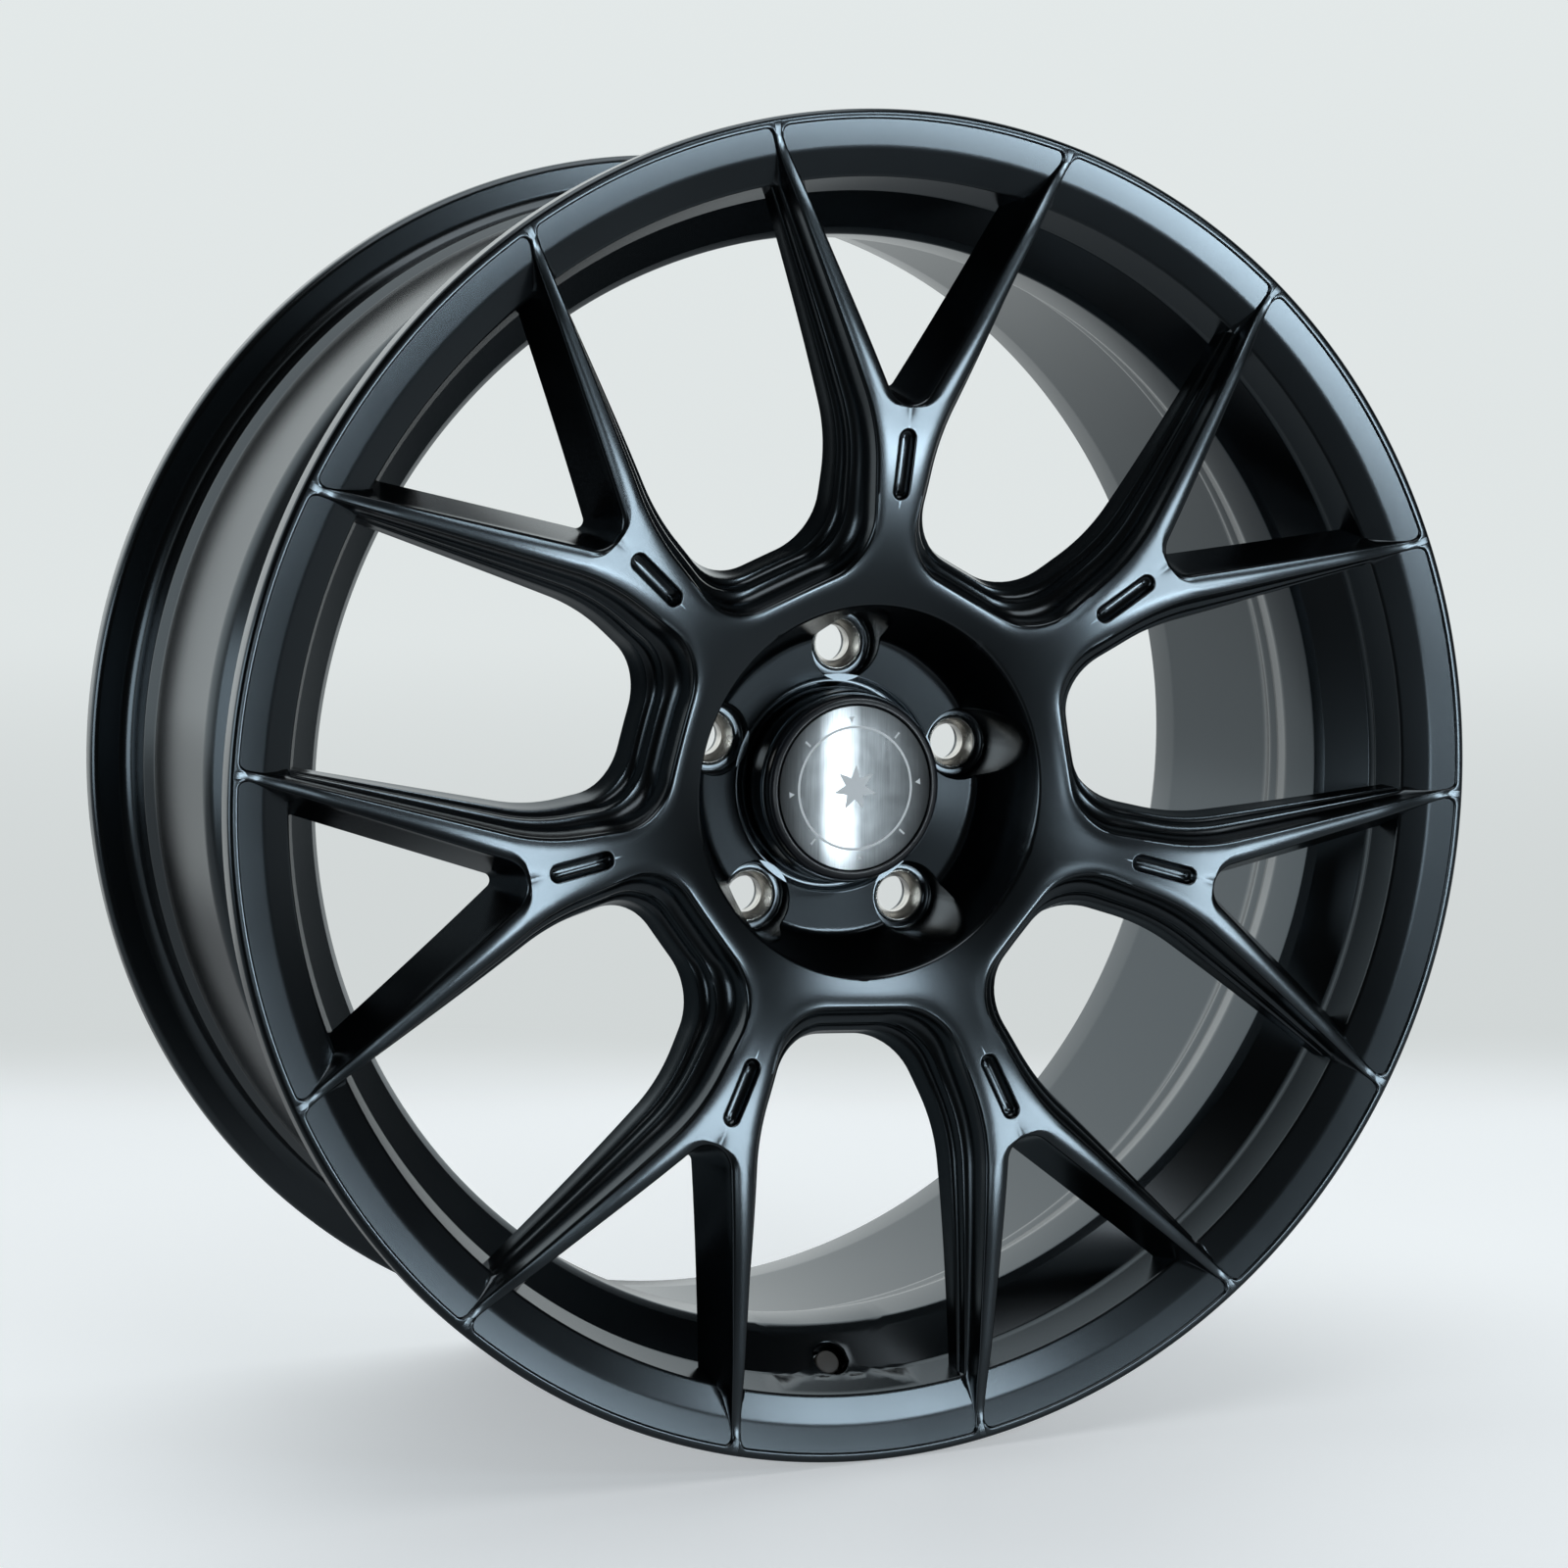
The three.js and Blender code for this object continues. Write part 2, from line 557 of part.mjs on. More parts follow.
function valve() {
  const webBack = VALVE_WELL_FLOOR - VALVE_WEB;
  const grommetLow = webBack - GAP - GROMMET_THICKNESS;
  const headTop = grommetLow - GAP;
  const headLow = headTop - STEM_HEAD_THICKNESS;
  const washerLow = VALVE_WELL_FLOOR + GAP;
  const nutLow = washerLow + WASHER_THICKNESS + GAP;
  const capLow = nutLow + NUT_THICKNESS + GAP;
  const capRoof = VALVE_CAP_TOP - VALVE_CAP_ROOF;
  const sealTop = capRoof - GAP;
  const coreTop = STEM_TOP - CORE_RECESS;
  const coreLow = coreTop - CORE_LENGTH;
  const cupTop = coreLow - GAP;
  const roomBack = cupTop - PIN_TRAVEL_ROOM;
  const hole = STEM_RADIUS + GAP;
  const head = STEM_RADIUS + STEM_FLANGE;
  const washerRadius = hole + WASHER_WIDTH;
  const stemBore = STEM_RADIUS * STEM_BORE_SHARE;
  const core = stemBore - GAP;
  const coreBore = core * CORE_BORE_SHARE;
  const pinRadius = coreBore * PIN_SHARE;
  const springRoom = (coreBore - pinRadius) / 2;
  const springWire = springRoom * SPRING_WIRE_SHARE;
  const springMean = pinRadius + springRoom;
  const cup = coreBore - 0.05;
  const capRadius = hole + VALVE_CAP_WALL;

  const stem = turned([
    [head, headLow],
    [head, headTop],
    [STEM_RADIUS, headTop],
    [STEM_RADIUS, STEM_TOP],
    [stemBore, STEM_TOP],
    [stemBore, roomBack],
    [STEM_AIR_RADIUS, roomBack - 1],
    [STEM_AIR_RADIUS, headLow],
  ], SMALL_SEGMENTS);
  const grommet = ring(head, hole, grommetLow, grommetLow + GROMMET_THICKNESS);
  const washer = ring(washerRadius, hole, washerLow, washerLow + WASHER_THICKNESS);
  const coreBody = ring(core, coreBore, coreLow, coreTop, 16);
  const pin = turned([
    [0, cupTop - PIN_CUP_THICKNESS],
    [cup, cupTop - PIN_CUP_THICKNESS],
    [cup, cupTop],
    [pinRadius, cupTop],
    [pinRadius, STEM_TOP - GAP],
    [0, STEM_TOP - GAP],
  ], 12);
  const spring = coreSpring(springMean, springWire, coreLow + 0.5, coreTop - 1);
  const cap = turned([
    [0, VALVE_CAP_TOP],
    [0, capRoof],
    [hole, capRoof],
    [hole, capLow],
    [capRadius, capLow],
    [capRadius, VALVE_CAP_TOP - VALVE_CAP_CHAMFER],
    [capRadius - VALVE_CAP_CHAMFER, VALVE_CAP_TOP],
  ], SMALL_SEGMENTS);
  const sealRadius = STEM_RADIUS - 0.2;
  const seal = ring(sealRadius, CAP_SEAL_HOLE_RADIUS, sealTop - CAP_SEAL_THICKNESS, sealTop, 16);

  const assembly = valveFrame();
  assembly.add(piece('valve_stem', stem, 0xb8bbbf, 0.3, 1));
  assembly.add(piece('valve_grommet', grommet, 0x141414, 0.8, 0));
  assembly.add(piece('valve_washer', washer, 0xa9acb0, 0.35, 1));
  assembly.add(piece('valve_nut', hexNut(nutLow), 0xb8bbbf, 0.3, 1));
  assembly.add(piece('valve_core_body', coreBody, 0xb08d4a, 0.35, 1));
  assembly.add(piece('valve_core_pin', pin, 0xb08d4a, 0.3, 1));
  assembly.add(piece('valve_core_spring', spring, 0x9a9ca0, 0.3, 1));
  assembly.add(piece('valve_cap', cap, 0x16171a, 0.5, 0));
  assembly.add(piece('valve_cap_seal', seal, 0x101010, 0.8, 0));
  return assembly;
}

// ---------------------------------------------------------------- assembly

const wheel = new THREE.Group();
wheel.rotation.y = rad(STANDING_SPIN);
wheel.add(wheelForging());
for (let i = 0; i < LUG_COUNT; i += 1) wheel.add(lugSeat(i));
wheel.add(centreCap());
wheel.add(valve());

export default wheel;
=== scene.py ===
# Forged racing wheel rim with seven forked spokes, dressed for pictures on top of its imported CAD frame.
# Sizes are millimetres in the wheel's own frame: "across" to the right seen from the front, "up" along
# a spoke, and "depth" from the front lip towards the back. to_row turns them into the frame's metres.
import math

import bmesh
import bpy
import numpy as np
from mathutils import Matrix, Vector


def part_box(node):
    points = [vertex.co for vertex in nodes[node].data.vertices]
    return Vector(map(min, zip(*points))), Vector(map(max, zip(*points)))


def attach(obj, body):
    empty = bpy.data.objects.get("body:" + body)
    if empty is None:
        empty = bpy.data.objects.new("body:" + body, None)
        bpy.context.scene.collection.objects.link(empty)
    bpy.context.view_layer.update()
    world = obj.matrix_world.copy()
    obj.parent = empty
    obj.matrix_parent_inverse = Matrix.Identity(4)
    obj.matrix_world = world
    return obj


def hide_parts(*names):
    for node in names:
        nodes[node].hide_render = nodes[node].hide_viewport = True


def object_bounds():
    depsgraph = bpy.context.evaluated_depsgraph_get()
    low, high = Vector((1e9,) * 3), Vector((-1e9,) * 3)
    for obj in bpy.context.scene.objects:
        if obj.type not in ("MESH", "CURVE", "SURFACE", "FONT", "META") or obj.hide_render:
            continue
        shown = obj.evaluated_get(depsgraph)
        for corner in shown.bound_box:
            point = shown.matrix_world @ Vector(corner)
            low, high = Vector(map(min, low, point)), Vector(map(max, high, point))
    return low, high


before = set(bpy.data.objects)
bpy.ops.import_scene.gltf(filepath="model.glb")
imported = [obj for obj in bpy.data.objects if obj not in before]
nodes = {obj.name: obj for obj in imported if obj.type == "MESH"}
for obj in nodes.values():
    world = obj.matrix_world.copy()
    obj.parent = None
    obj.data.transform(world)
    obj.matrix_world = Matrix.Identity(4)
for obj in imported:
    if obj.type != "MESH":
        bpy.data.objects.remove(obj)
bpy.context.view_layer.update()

# ------------------------------------------------------------------ rim barrel
# The tyre side and the inside of the forging: flanges, bead seats with their humps, drop well, the
# rear barrel, and the pocket floor and sloped band that the spoke tips grow out of. It is one turned
# shape, painted satin black with the rest of the forging.
MM = 0.001
low_corner, high_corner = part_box("wheel_forging")
HALF_WIDTH = (high_corner.y - low_corner.y) / 2 / MM
WIDTH = 2 * HALF_WIDTH
STANDING_SPIN = math.radians(3)
FLANGE_RADIUS = 261.0
FLANGE_THICKNESS = 12.05
SEAT_RADIUS = 243.7
WELL_RADIUS = 222.5
WELL_INSIDE = 216.5
REAR_OUTSIDE = 241.2
REAR_INSIDE = 235.2
LIP_EDGE_RADIUS = 257.2
POCKET_BREAK_RADIUS = 247.0
POCKET_STEP_RADIUS = 237.5
BAND_RADIUS = 232.3
LEDGE_RADIUS = 219.1
LEDGE_DEPTH = 41.0
RIM_TURNS = 288


def to_row(across, depth, up):
    """Metres in the row's frame: the wheel is turned clockwise about its axle by its standing spin."""
    sine, cosine = math.sin(STANDING_SPIN), math.cos(STANDING_SPIN)
    row_x = across * cosine + up * sine
    row_z = up * cosine - across * sine
    return np.stack([row_x, depth - HALF_WIDTH, row_z], -1) * MM


def grid_quads(rows, columns, first=0, wrap_rows=False, wrap_columns=False):
    """Corner numbers of the quads between neighbouring rows and columns of a grid of points."""
    row = np.arange(rows if wrap_rows else rows - 1)[:, None]
    column = np.arange(columns if wrap_columns else columns - 1)[None, :]
    next_row, next_column = (row + 1) % rows, (column + 1) % columns
    corners = (row * columns + column, next_row * columns + column,
               next_row * columns + next_column, row * columns + next_column)
    return first + np.stack(np.broadcast_arrays(*corners), -1).reshape(-1, 4)


def make_piece(name, patches, material, body, replaced=(), crease=32):
    """One object from patches of (points, wraps), welded where they meet, with its faces turned out."""
    points, quads, first = [], [], 0
    for patch, wraps in patches:
        rows, columns = patch.shape[:2]
        points.append(patch.reshape(-1, 3))
        quads.append(grid_quads(rows, columns, first, *wraps))
        first += rows * columns
    mesh = bpy.data.meshes.new(name)
    mesh.from_pydata(np.concatenate(points).tolist(), [], np.concatenate(quads).tolist())
    shell = bmesh.new()
    shell.from_mesh(mesh)
    bmesh.ops.remove_doubles(shell, verts=shell.verts, dist=3e-6)
    bmesh.ops.dissolve_degenerate(shell, edges=shell.edges, dist=1e-7)
    bmesh.ops.recalc_face_normals(shell, faces=shell.faces)
    shell.to_mesh(mesh)
    shell.free()
    mesh.shade_smooth()
    mesh.set_sharp_from_angle(angle=math.radians(crease))
    mesh.materials.append(material)
    piece = bpy.data.objects.new(name, mesh)
    bpy.context.scene.collection.objects.link(piece)
    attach(piece, body)
    if replaced:
        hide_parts(*replaced)
    return piece


def rounded(corners, closed=False):
    """Points through corners (a, b, radius, count), each corner rounded by an arc of its own radius."""
    points = []
    total = len(corners)
    for index, (a, b, radius, count) in enumerate(corners):
        here = np.array([a, b], float)
        at_end = not closed and index in (0, total - 1)
        if radius == 0 or at_end:
            points.append(here[None])
            continue
        back = np.array(corners[index - 1][:2], float) - here
        ahead = np.array(corners[(index + 1) % total][:2], float) - here
        back /= np.linalg.norm(back)
        ahead /= np.linalg.norm(ahead)
        half = math.acos(np.clip(back @ ahead, -1, 1)) / 2
        middle = (back + ahead) / np.linalg.norm(back + ahead)
        centre = here + middle * radius / math.sin(half)
        start = here + back * radius / math.tan(half) - centre
        finish = here + ahead * radius / math.tan(half) - centre
        angle = math.atan2(start[1], start[0])
        turn = math.atan2(finish[1], finish[0]) - angle
        turn = (turn + math.pi) % (2 * math.pi) - math.pi
        sweep = angle + turn * np.linspace(0, 1, count)
        points.append(centre + radius * np.stack([np.cos(sweep), np.sin(sweep)], -1))
    return np.concatenate(points)


def turned(profile, angles):
    """A profile of (radius, depth) points carried round the axle through the given angles."""
    radius, depth = profile[:, 0][:, None], profile[:, 1][:, None]
    return to_row(radius * np.sin(angles), depth + 0 * angles, radius * np.cos(angles))


def full_turn(count):
    """Evenly spaced angles all the way round, without the last one, which is the first again."""
    return np.linspace(0, 2 * math.pi, count, endpoint=False)


def pocket_floor(radius):
    """Depth of the pocket floor: a gentle slope in from the lip, then a steeper one to the step."""
    radii = [POCKET_STEP_RADIUS, POCKET_BREAK_RADIUS, LIP_EDGE_RADIUS + 2]
    return np.interp(radius, radii, [9.0, 4.2, 0.4])


def rim_profile():
    """(radius, depth) round the whole section: tyre side to the back, then the inside to the front."""
    seat, flange = SEAT_RADIUS, FLANGE_RADIUS
    rear = WIDTH - FLANGE_THICKNESS
    front = FLANGE_THICKNESS
    return rounded([
        (flange, 2.0, 0, 1),
        (flange, front, 3.2, 7),
        (seat, front, 6.5, 8),
        (seat - 0.6, front + 18.5, 6, 3),
        (seat + 0.9, front + 23, 3, 5),
        (seat - 0.2, front + 29, 4, 5),
        (seat - 1.5, 50, 6, 5),
        (WELL_RADIUS, 72, 9, 7),
        (WELL_RADIUS, 92, 9, 7),
        (REAR_OUTSIDE, 114, 12, 7),
        (REAR_OUTSIDE, rear - 30, 5, 4),
        (seat + 0.9, rear - 23, 3, 5),
        (seat - 0.6, rear - 18.5, 6, 3),
        (seat, rear, 6.5, 8),
        (flange, rear, 3.2, 7),
        (flange, WIDTH, 3.4, 7),
        (flange - 10.4, WIDTH, 1.6, 5),
        (REAR_INSIDE + 4.4, rear - 9, 5, 5),
        (REAR_INSIDE + 2.0, rear - 12, 1.2, 4),
        (REAR_INSIDE, 196, 30, 4),
        (REAR_INSIDE, 114, 16, 8),
        (WELL_INSIDE + 4.0, 80, 10, 7),
        (WELL_INSIDE, 68, 12, 6),
        (WELL_INSIDE, 45, 3, 4),
        (LEDGE_RADIUS, LEDGE_DEPTH, 0.9, 5),
        (BAND_RADIUS, 27.4, 1.2, 4),
        (BAND_RADIUS + 0.9, 24.6, 0.7, 4),
        (BAND_RADIUS - 0.5, 22.0, 0.7, 4),
        (BAND_RADIUS + 4.4, 10.6, 0.5, 3),
        (BAND_RADIUS + 3.8, 9.6, 0.35, 3),
        (POCKET_STEP_RADIUS, 8.9, 0.7, 4),
        (POCKET_BREAK_RADIUS, 4.2, 14, 5),
        (LIP_EDGE_RADIUS + 2, 0.4, 0, 1),
        (flange - 0.6, 1.2, 0, 1),
    ])


def connect(tree, node, inputs):
    """Each input named is set to a value, or linked to the socket given for it."""
    for name, value in inputs.items():
        if isinstance(value, bpy.types.NodeSocket):
            tree.links.new(value, node.inputs[name])
        else:
            node.inputs[name].default_value = value


def wired(tree, kind, inputs, **settings):
    """A new shader node of a kind, with its settings made before its inputs are connected."""
    node = tree.nodes.new("ShaderNode" + kind)
    for name, value in settings.items():
        setattr(node, name, value)
    connect(tree, node, inputs)
    return node


def new_group(name, inputs, outputs):
    """An empty node group with sockets of the types given, and the nodes at its two ends."""
    group = bpy.data.node_groups.new(name, "ShaderNodeTree")
    for way, sockets in (("INPUT", inputs), ("OUTPUT", outputs)):
        for socket, kind in sockets.items():
            group.interface.new_socket(socket, in_out=way, socket_type=kind)
    return group, group.nodes.new("NodeGroupInput"), group.nodes.new("NodeGroupOutput")


def new_material(name):
    """A material, its node tree and the shader in it."""
    material = bpy.data.materials.new(name)
    material.use_nodes = True
    return material, material.node_tree, material.node_tree.nodes["Principled BSDF"]


VALUE, DIRECTION = "NodeSocketFloat", "NodeSocketVector"


def paint_grain_group():
    """Node group: the fine grain and slight unevenness of sprayed satin paint, and a little dust."""
    group, inside, outside = new_group(
        "paint_grain", {"Grain Size": VALUE, "Unevenness": VALUE},
        {"Height": VALUE, "Evenness": VALUE, "Dust": VALUE})
    place = wired(group, "TexCoord", {}).outputs["Object"]
    fine = wired(group, "TexNoise", {"Vector": place, "Scale": inside.outputs["Grain Size"], "Detail": 3})
    broad = wired(group, "TexNoise", {"Vector": place, "Scale": 14, "Detail": 4})
    centred = wired(group, "Math", {0: broad.outputs["Fac"], 1: 0.5}, operation="SUBTRACT")
    uneven = wired(group, "Math", {0: centred.outputs[0], 1: inside.outputs["Unevenness"]},
                   operation="MULTIPLY")
    cells = wired(group, "TexVoronoi", {"Vector": place, "Scale": 130, "Randomness": 1})
    specks = wired(group, "MapRange", {
        "Value": cells.outputs["Distance"], "From Min": 0.075, "From Max": 0.03})
    connect(group, outside, {
        "Height": fine.outputs["Fac"], "Evenness": uneven.outputs[0], "Dust": specks.outputs["Result"]})
    return group


PAINT_GRAIN = paint_grain_group()


def satin_paint(name, colour, roughness, grain_size=2600, grain_depth=0.00002, unevenness=0.16,
                metallic=0.0):
    """Satin sprayed paint: a dark colour, a grainy bump, uneven gloss and a few specks of dust."""
    material, tree, shader = new_material(name)
    dust_colour = [min(1, 1.5 * part + 0.02) for part in colour]
    grain = wired(tree, "Group", {"Grain Size": grain_size, "Unevenness": unevenness},
                  node_tree=PAINT_GRAIN)
    bump = wired(tree, "Bump", {
        "Strength": 0.6, "Distance": grain_depth, "Height": grain.outputs["Height"]})
    gloss = wired(tree, "Math", {0: grain.outputs["Evenness"], 1: roughness}, operation="ADD")
    share = wired(tree, "Math", {0: grain.outputs["Dust"], 1: 0.25}, operation="MULTIPLY")
    dusted = wired(tree, "Mix", {
        "A": (*colour, 1), "B": (*dust_colour, 1), "Factor": share.outputs[0]}, data_type="RGBA")
    connect(tree, shader, {
        "Metallic": metallic, "Normal": bump.outputs["Normal"], "Roughness": gloss.outputs[0],
        "Base Color": dusted.outputs["Result"]})
    return material


SATIN_BLACK = satin_paint("satin_black_paint", (0.075, 0.087, 0.096), 0.215, 2600, 0.000004, 0.08, 1.0)

# The valve's hole through the sloped band at the bottom. Heights in it run along the valve, out of the
# rim, from a point at the band's surface.
VALVE_POINT = np.array([0, 32.0, -227.6])
VALVE_TILT = math.radians(35)
VALVE_OUT = np.array([0, -math.cos(VALVE_TILT), math.sin(VALVE_TILT)])
VALVE_ACROSS = np.array([1.0, 0, 0])
VALVE_UP = np.array([0, math.sin(VALVE_TILT), math.cos(VALVE_TILT)])
VALVE_WELL_RADIUS = 7.5
VALVE_WELL_FLOOR = -15.5
VALVE_WELL_ROUNDING = 0.5
BLOCK_DEPTHS = (10.7, 46.0)
BLOCK_COLUMNS = 12


def walked_along(points):
    """The length walked along a path up to each of its points."""
    return np.concatenate([[0], np.cumsum(np.linalg.norm(np.diff(points, axis=0), axis=1))])


def at_walk(walk, walked, points):
    """The values of a path at lengths walked along it, from those at its own points."""
    return np.stack([np.interp(walk, walked, points[:, axis]) for axis in (0, 1)], -1)


section = rim_profile()
rim_angles = full_turn(RIM_TURNS)
section_length = walked_along(section)
inside_rows = np.nonzero((section[:, 1] > BLOCK_DEPTHS[0]) & (section[:, 1] < BLOCK_DEPTHS[1])
                         & (section[:, 0] < POCKET_STEP_RADIUS) & (section[:, 0] > WELL_INSIDE - 1))[0]
FIRST_ROW, LAST_ROW = inside_rows[0], inside_rows[-1]
FIRST_COLUMN = RIM_TURNS // 2 - BLOCK_COLUMNS // 2
LAST_COLUMN = FIRST_COLUMN + BLOCK_COLUMNS


def along_valve(offsets, height):
    """Points from (across, up) offsets square to the valve and a height along it, in the row's frame."""
    spot = (VALVE_POINT + offsets[..., :1] * VALVE_ACROSS + offsets[..., 1:] * VALVE_UP
            + np.asarray(height)[..., None] * VALVE_OUT)
    return to_row(spot[..., 0], spot[..., 1], spot[..., 2])


def valve_well():
    """The rim's surface from a border of the turned grid in to a round edge, then the well's wall and
    floor. Between border and edge the points are spread evenly in (angle, length along the section)."""
    rows = np.arange(FIRST_ROW, LAST_ROW + 1)
    columns = np.arange(FIRST_COLUMN, LAST_COLUMN + 1)
    border_row = np.concatenate([
        np.full(BLOCK_COLUMNS, rows[0]), rows[:-1], np.full(BLOCK_COLUMNS, rows[-1]), rows[:0:-1]])
    border_column = np.concatenate([
        columns[:-1], np.full(len(rows) - 1, columns[-1]),
        columns[:0:-1], np.full(len(rows) - 1, columns[0])])
    angle, length = rim_angles[border_column], section_length[border_row]

    def place(angle, length):
        """Points (across, depth, up) at angles round the axle and lengths along the rim's section."""
        spot = at_walk(length, section_length, section)
        return np.stack([spot[..., 0] * np.sin(angle), spot[..., 1], spot[..., 0] * np.cos(angle)], -1)

    offset = place(angle, length) - VALVE_POINT
    turn = np.arctan2(offset @ VALVE_UP, offset @ VALVE_ACROSS)
    around = np.stack([np.cos(turn), np.sin(turn)], -1)
    reach = VALVE_WELL_RADIUS + VALVE_WELL_ROUNDING
    sample = np.linspace(length.min(), length.max(), 3000)
    sample_radius, sample_depth = at_walk(sample, section_length, section).T
    sine = -reach * around[:, :1] / sample_radius
    rise = -sample_radius * np.sqrt(1 - sine ** 2) - VALVE_POINT[2]
    height = (sample_depth - VALVE_POINT[1]) * VALVE_UP[1] + rise * VALVE_UP[2]
    nearest = np.abs(height - reach * around[:, 1:]).argmin(1)
    edge_length = sample[nearest]
    edge_angle = math.pi + np.arcsin(sine[np.arange(len(turn)), nearest])
    share = np.linspace(0, 1, 9)[:, None]
    spots = place(angle + (edge_angle - angle) * share, length + (edge_length - length) * share)
    surface = to_row(spots[..., 0], spots[..., 1], spots[..., 2])
    edge_height = (spots[-1] - VALVE_POINT) @ VALVE_OUT
    bend = np.linspace(0, math.pi / 2, 4)[1:, None]
    edge = along_valve((reach - VALVE_WELL_ROUNDING * np.sin(bend))[..., None] * around,
                       edge_height - VALVE_WELL_ROUNDING * (1 - np.cos(bend)))
    low = VALVE_WELL_FLOOR + 0.6
    fall = np.linspace(0, 1, 6)[1:, None]
    top = edge_height - VALVE_WELL_ROUNDING
    wall = along_valve(np.broadcast_to(VALVE_WELL_RADIUS * around, (len(fall), *around.shape)),
                       top + (low - top) * fall)
    inwards = np.array([VALVE_WELL_RADIUS - 0.6, 5.0, 2.5, 0.0])[:, None]
    floor = along_valve(inwards[..., None] * around, np.full((len(inwards), len(turn)), VALVE_WELL_FLOOR))
    return np.concatenate([surface, edge, wall, floor])


rim_rows = np.concatenate([section[LAST_ROW:], section[:FIRST_ROW + 1]])
outside_angles = np.concatenate([rim_angles[LAST_COLUMN:], rim_angles[:FIRST_COLUMN + 1]])
rim_patches = [
    (turned(section, outside_angles), (True, False)),
    (turned(rim_rows, rim_angles[FIRST_COLUMN:LAST_COLUMN + 1]), (False, False)),
    (valve_well(), (False, True)),
]
make_piece("rim_barrel", rim_patches, SATIN_BLACK, "wheel", ["wheel_forging"])

# ------------------------------------------------------------------ spokes
# Seven Y-shaped spokes milled from the same forging, with dished faces, rounded edges, two stepped
# ledges down the walls of the big windows and plain drafted walls in the forks. One half of one spoke
# is worked out, then mirrored and repeated round the axle.
SPOKE_COUNT = 7
HALF_PITCH = math.pi / SPOKE_COUNT
BOWL_RADIUS = 72.8
BOWL_ROUNDING = 1.6
FACE_FLAT_RADIUS = 190.0
DISH_FALL = 19.0
DISH_POWER = 2.2
FLAT_DEPTH = 0.3
TIP_DIP = 1.2
WINDOW_END = 85.2
WINDOW_HALF_WIDTH = 49.4
WINDOW_SHOULDER = (WINDOW_HALF_WIDTH, 132.7)
WINDOW_TAPER = math.radians(19.2)
WINDOW_CORNER_RADIUS = 24
WINDOW_SHOULDER_RADIUS = 90
BACK_SHOULDER_RADIUS = 80
WINDOW_FAR = 276
WINDOW_FAR_HALF_WIDTH = WINDOW_HALF_WIDTH + 1.4
BACK_END = (23.1, WINDOW_END + 13.8)
BACK_SHOULDER = (38.3, 134)
BACK_FAR_HALF_WIDTH = 49.3
FORK_APEX = 139.5
FORK_HALF_ANGLE = math.radians(28.7)
FORK_FILLET = 10.1
FORK_INSET = 7.7
SLOT_CENTRE = 127.4
SLOT_LENGTH = 27.0
SLOT_WIDTH = 6.6
SLOT_DEPTH = 4.0
SLOT_ROUNDING = 0.5
SLOT_WALL_DEPTH = 1.7
LIP_CORNER = 3.0
HUB_PAD_RADIUS = 77.0
BACK_MARGIN = 0.9
BACK_LEAST_DEPTH = 17
BACK_RISE = 29
BACK_RISE_RADIUS = 96
BACK_RISE_LENGTH = 55
FLANK_RADIUS = 99
FLANK_WIDTH = 22
FLANK_RISE = 17
FACE_COLUMNS = 10
ROUNDING_COLUMNS = 5


def polar(radius, angle):
    """Points (across, up) at radii and angles, which run clockwise from the top."""
    return np.stack([radius * np.sin(angle), radius * np.cos(angle)], -1)


def smooth_step(value):
    """A soft rise from 0 to 1: three times the square less twice the cube of the value."""
    value = np.clip(value, 0, 1)
    return value * value * (3 - 2 * value)


def face_depth(radius):
    """A dish that falls by a power of the distance from the flat zone, and dips a little before the lip."""
    share = np.clip((radius - BOWL_RADIUS) / (FACE_FLAT_RADIUS - BOWL_RADIUS), 0, 1)
    dip = TIP_DIP * smooth_step((radius - 222) / 24) * (1 - smooth_step((radius - 249) / 8))
    return FLAT_DEPTH * (1 - smooth_step((radius - 249) / 8)) + DISH_FALL * (1 - share) ** DISH_POWER + dip


def back_depth(radius):
    """The spokes' back: an exponential fall outwards, and a steeper parabola up to the hub pad."""
    flank = FLANK_RISE * (np.maximum(0, FLANK_RADIUS - radius) / FLANK_WIDTH) ** 2
    return BACK_LEAST_DEPTH + BACK_RISE * np.exp(-(radius - BACK_RISE_RADIUS) / BACK_RISE_LENGTH) + flank


def rounding(radius):
    """Radius of the rounded edges round a face, which get finer towards the tips."""
    return np.interp(radius, [150, 250], [1.6, 0.8])


def dense(points, step=0.2):
    """The same path with points every step, its direction there and the length walked so far."""
    length = walked_along(points)
    walked = np.linspace(0, length[-1], int(length[-1] / step) + 2)
    path = at_walk(walked, length, points)
    direction = np.gradient(path, walked, axis=0)
    kernel = np.ones(9) / 9
    for axis in (0, 1):
        padded = np.pad(direction[:, axis], 4, mode="edge")
        direction[:, axis] = np.convolve(padded, kernel, "valid")
    direction /= np.linalg.norm(direction, axis=1, keepdims=True)
    return path, direction, walked


def window_path(end, shoulder, corner_radius, shoulder_radius, far_half_width):
    """One edge of the big window on this spoke's side, from its centre line out along the arm. The end
    and the shoulder are corners (half width, radius from the axle), rounded by their own radii."""
    outline = rounded([
        (0, end[1], 0, 1),
        (*end, corner_radius, 60),
        (*shoulder, shoulder_radius, 60),
        (far_half_width, WINDOW_FAR, 0, 1),
    ])
    along = np.array([math.sin(HALF_PITCH), math.cos(HALF_PITCH)])
    towards_spoke = np.array([-math.cos(HALF_PITCH), math.sin(HALF_PITCH)])
    return outline[:, 1:] * along + outline[:, :1] * towards_spoke


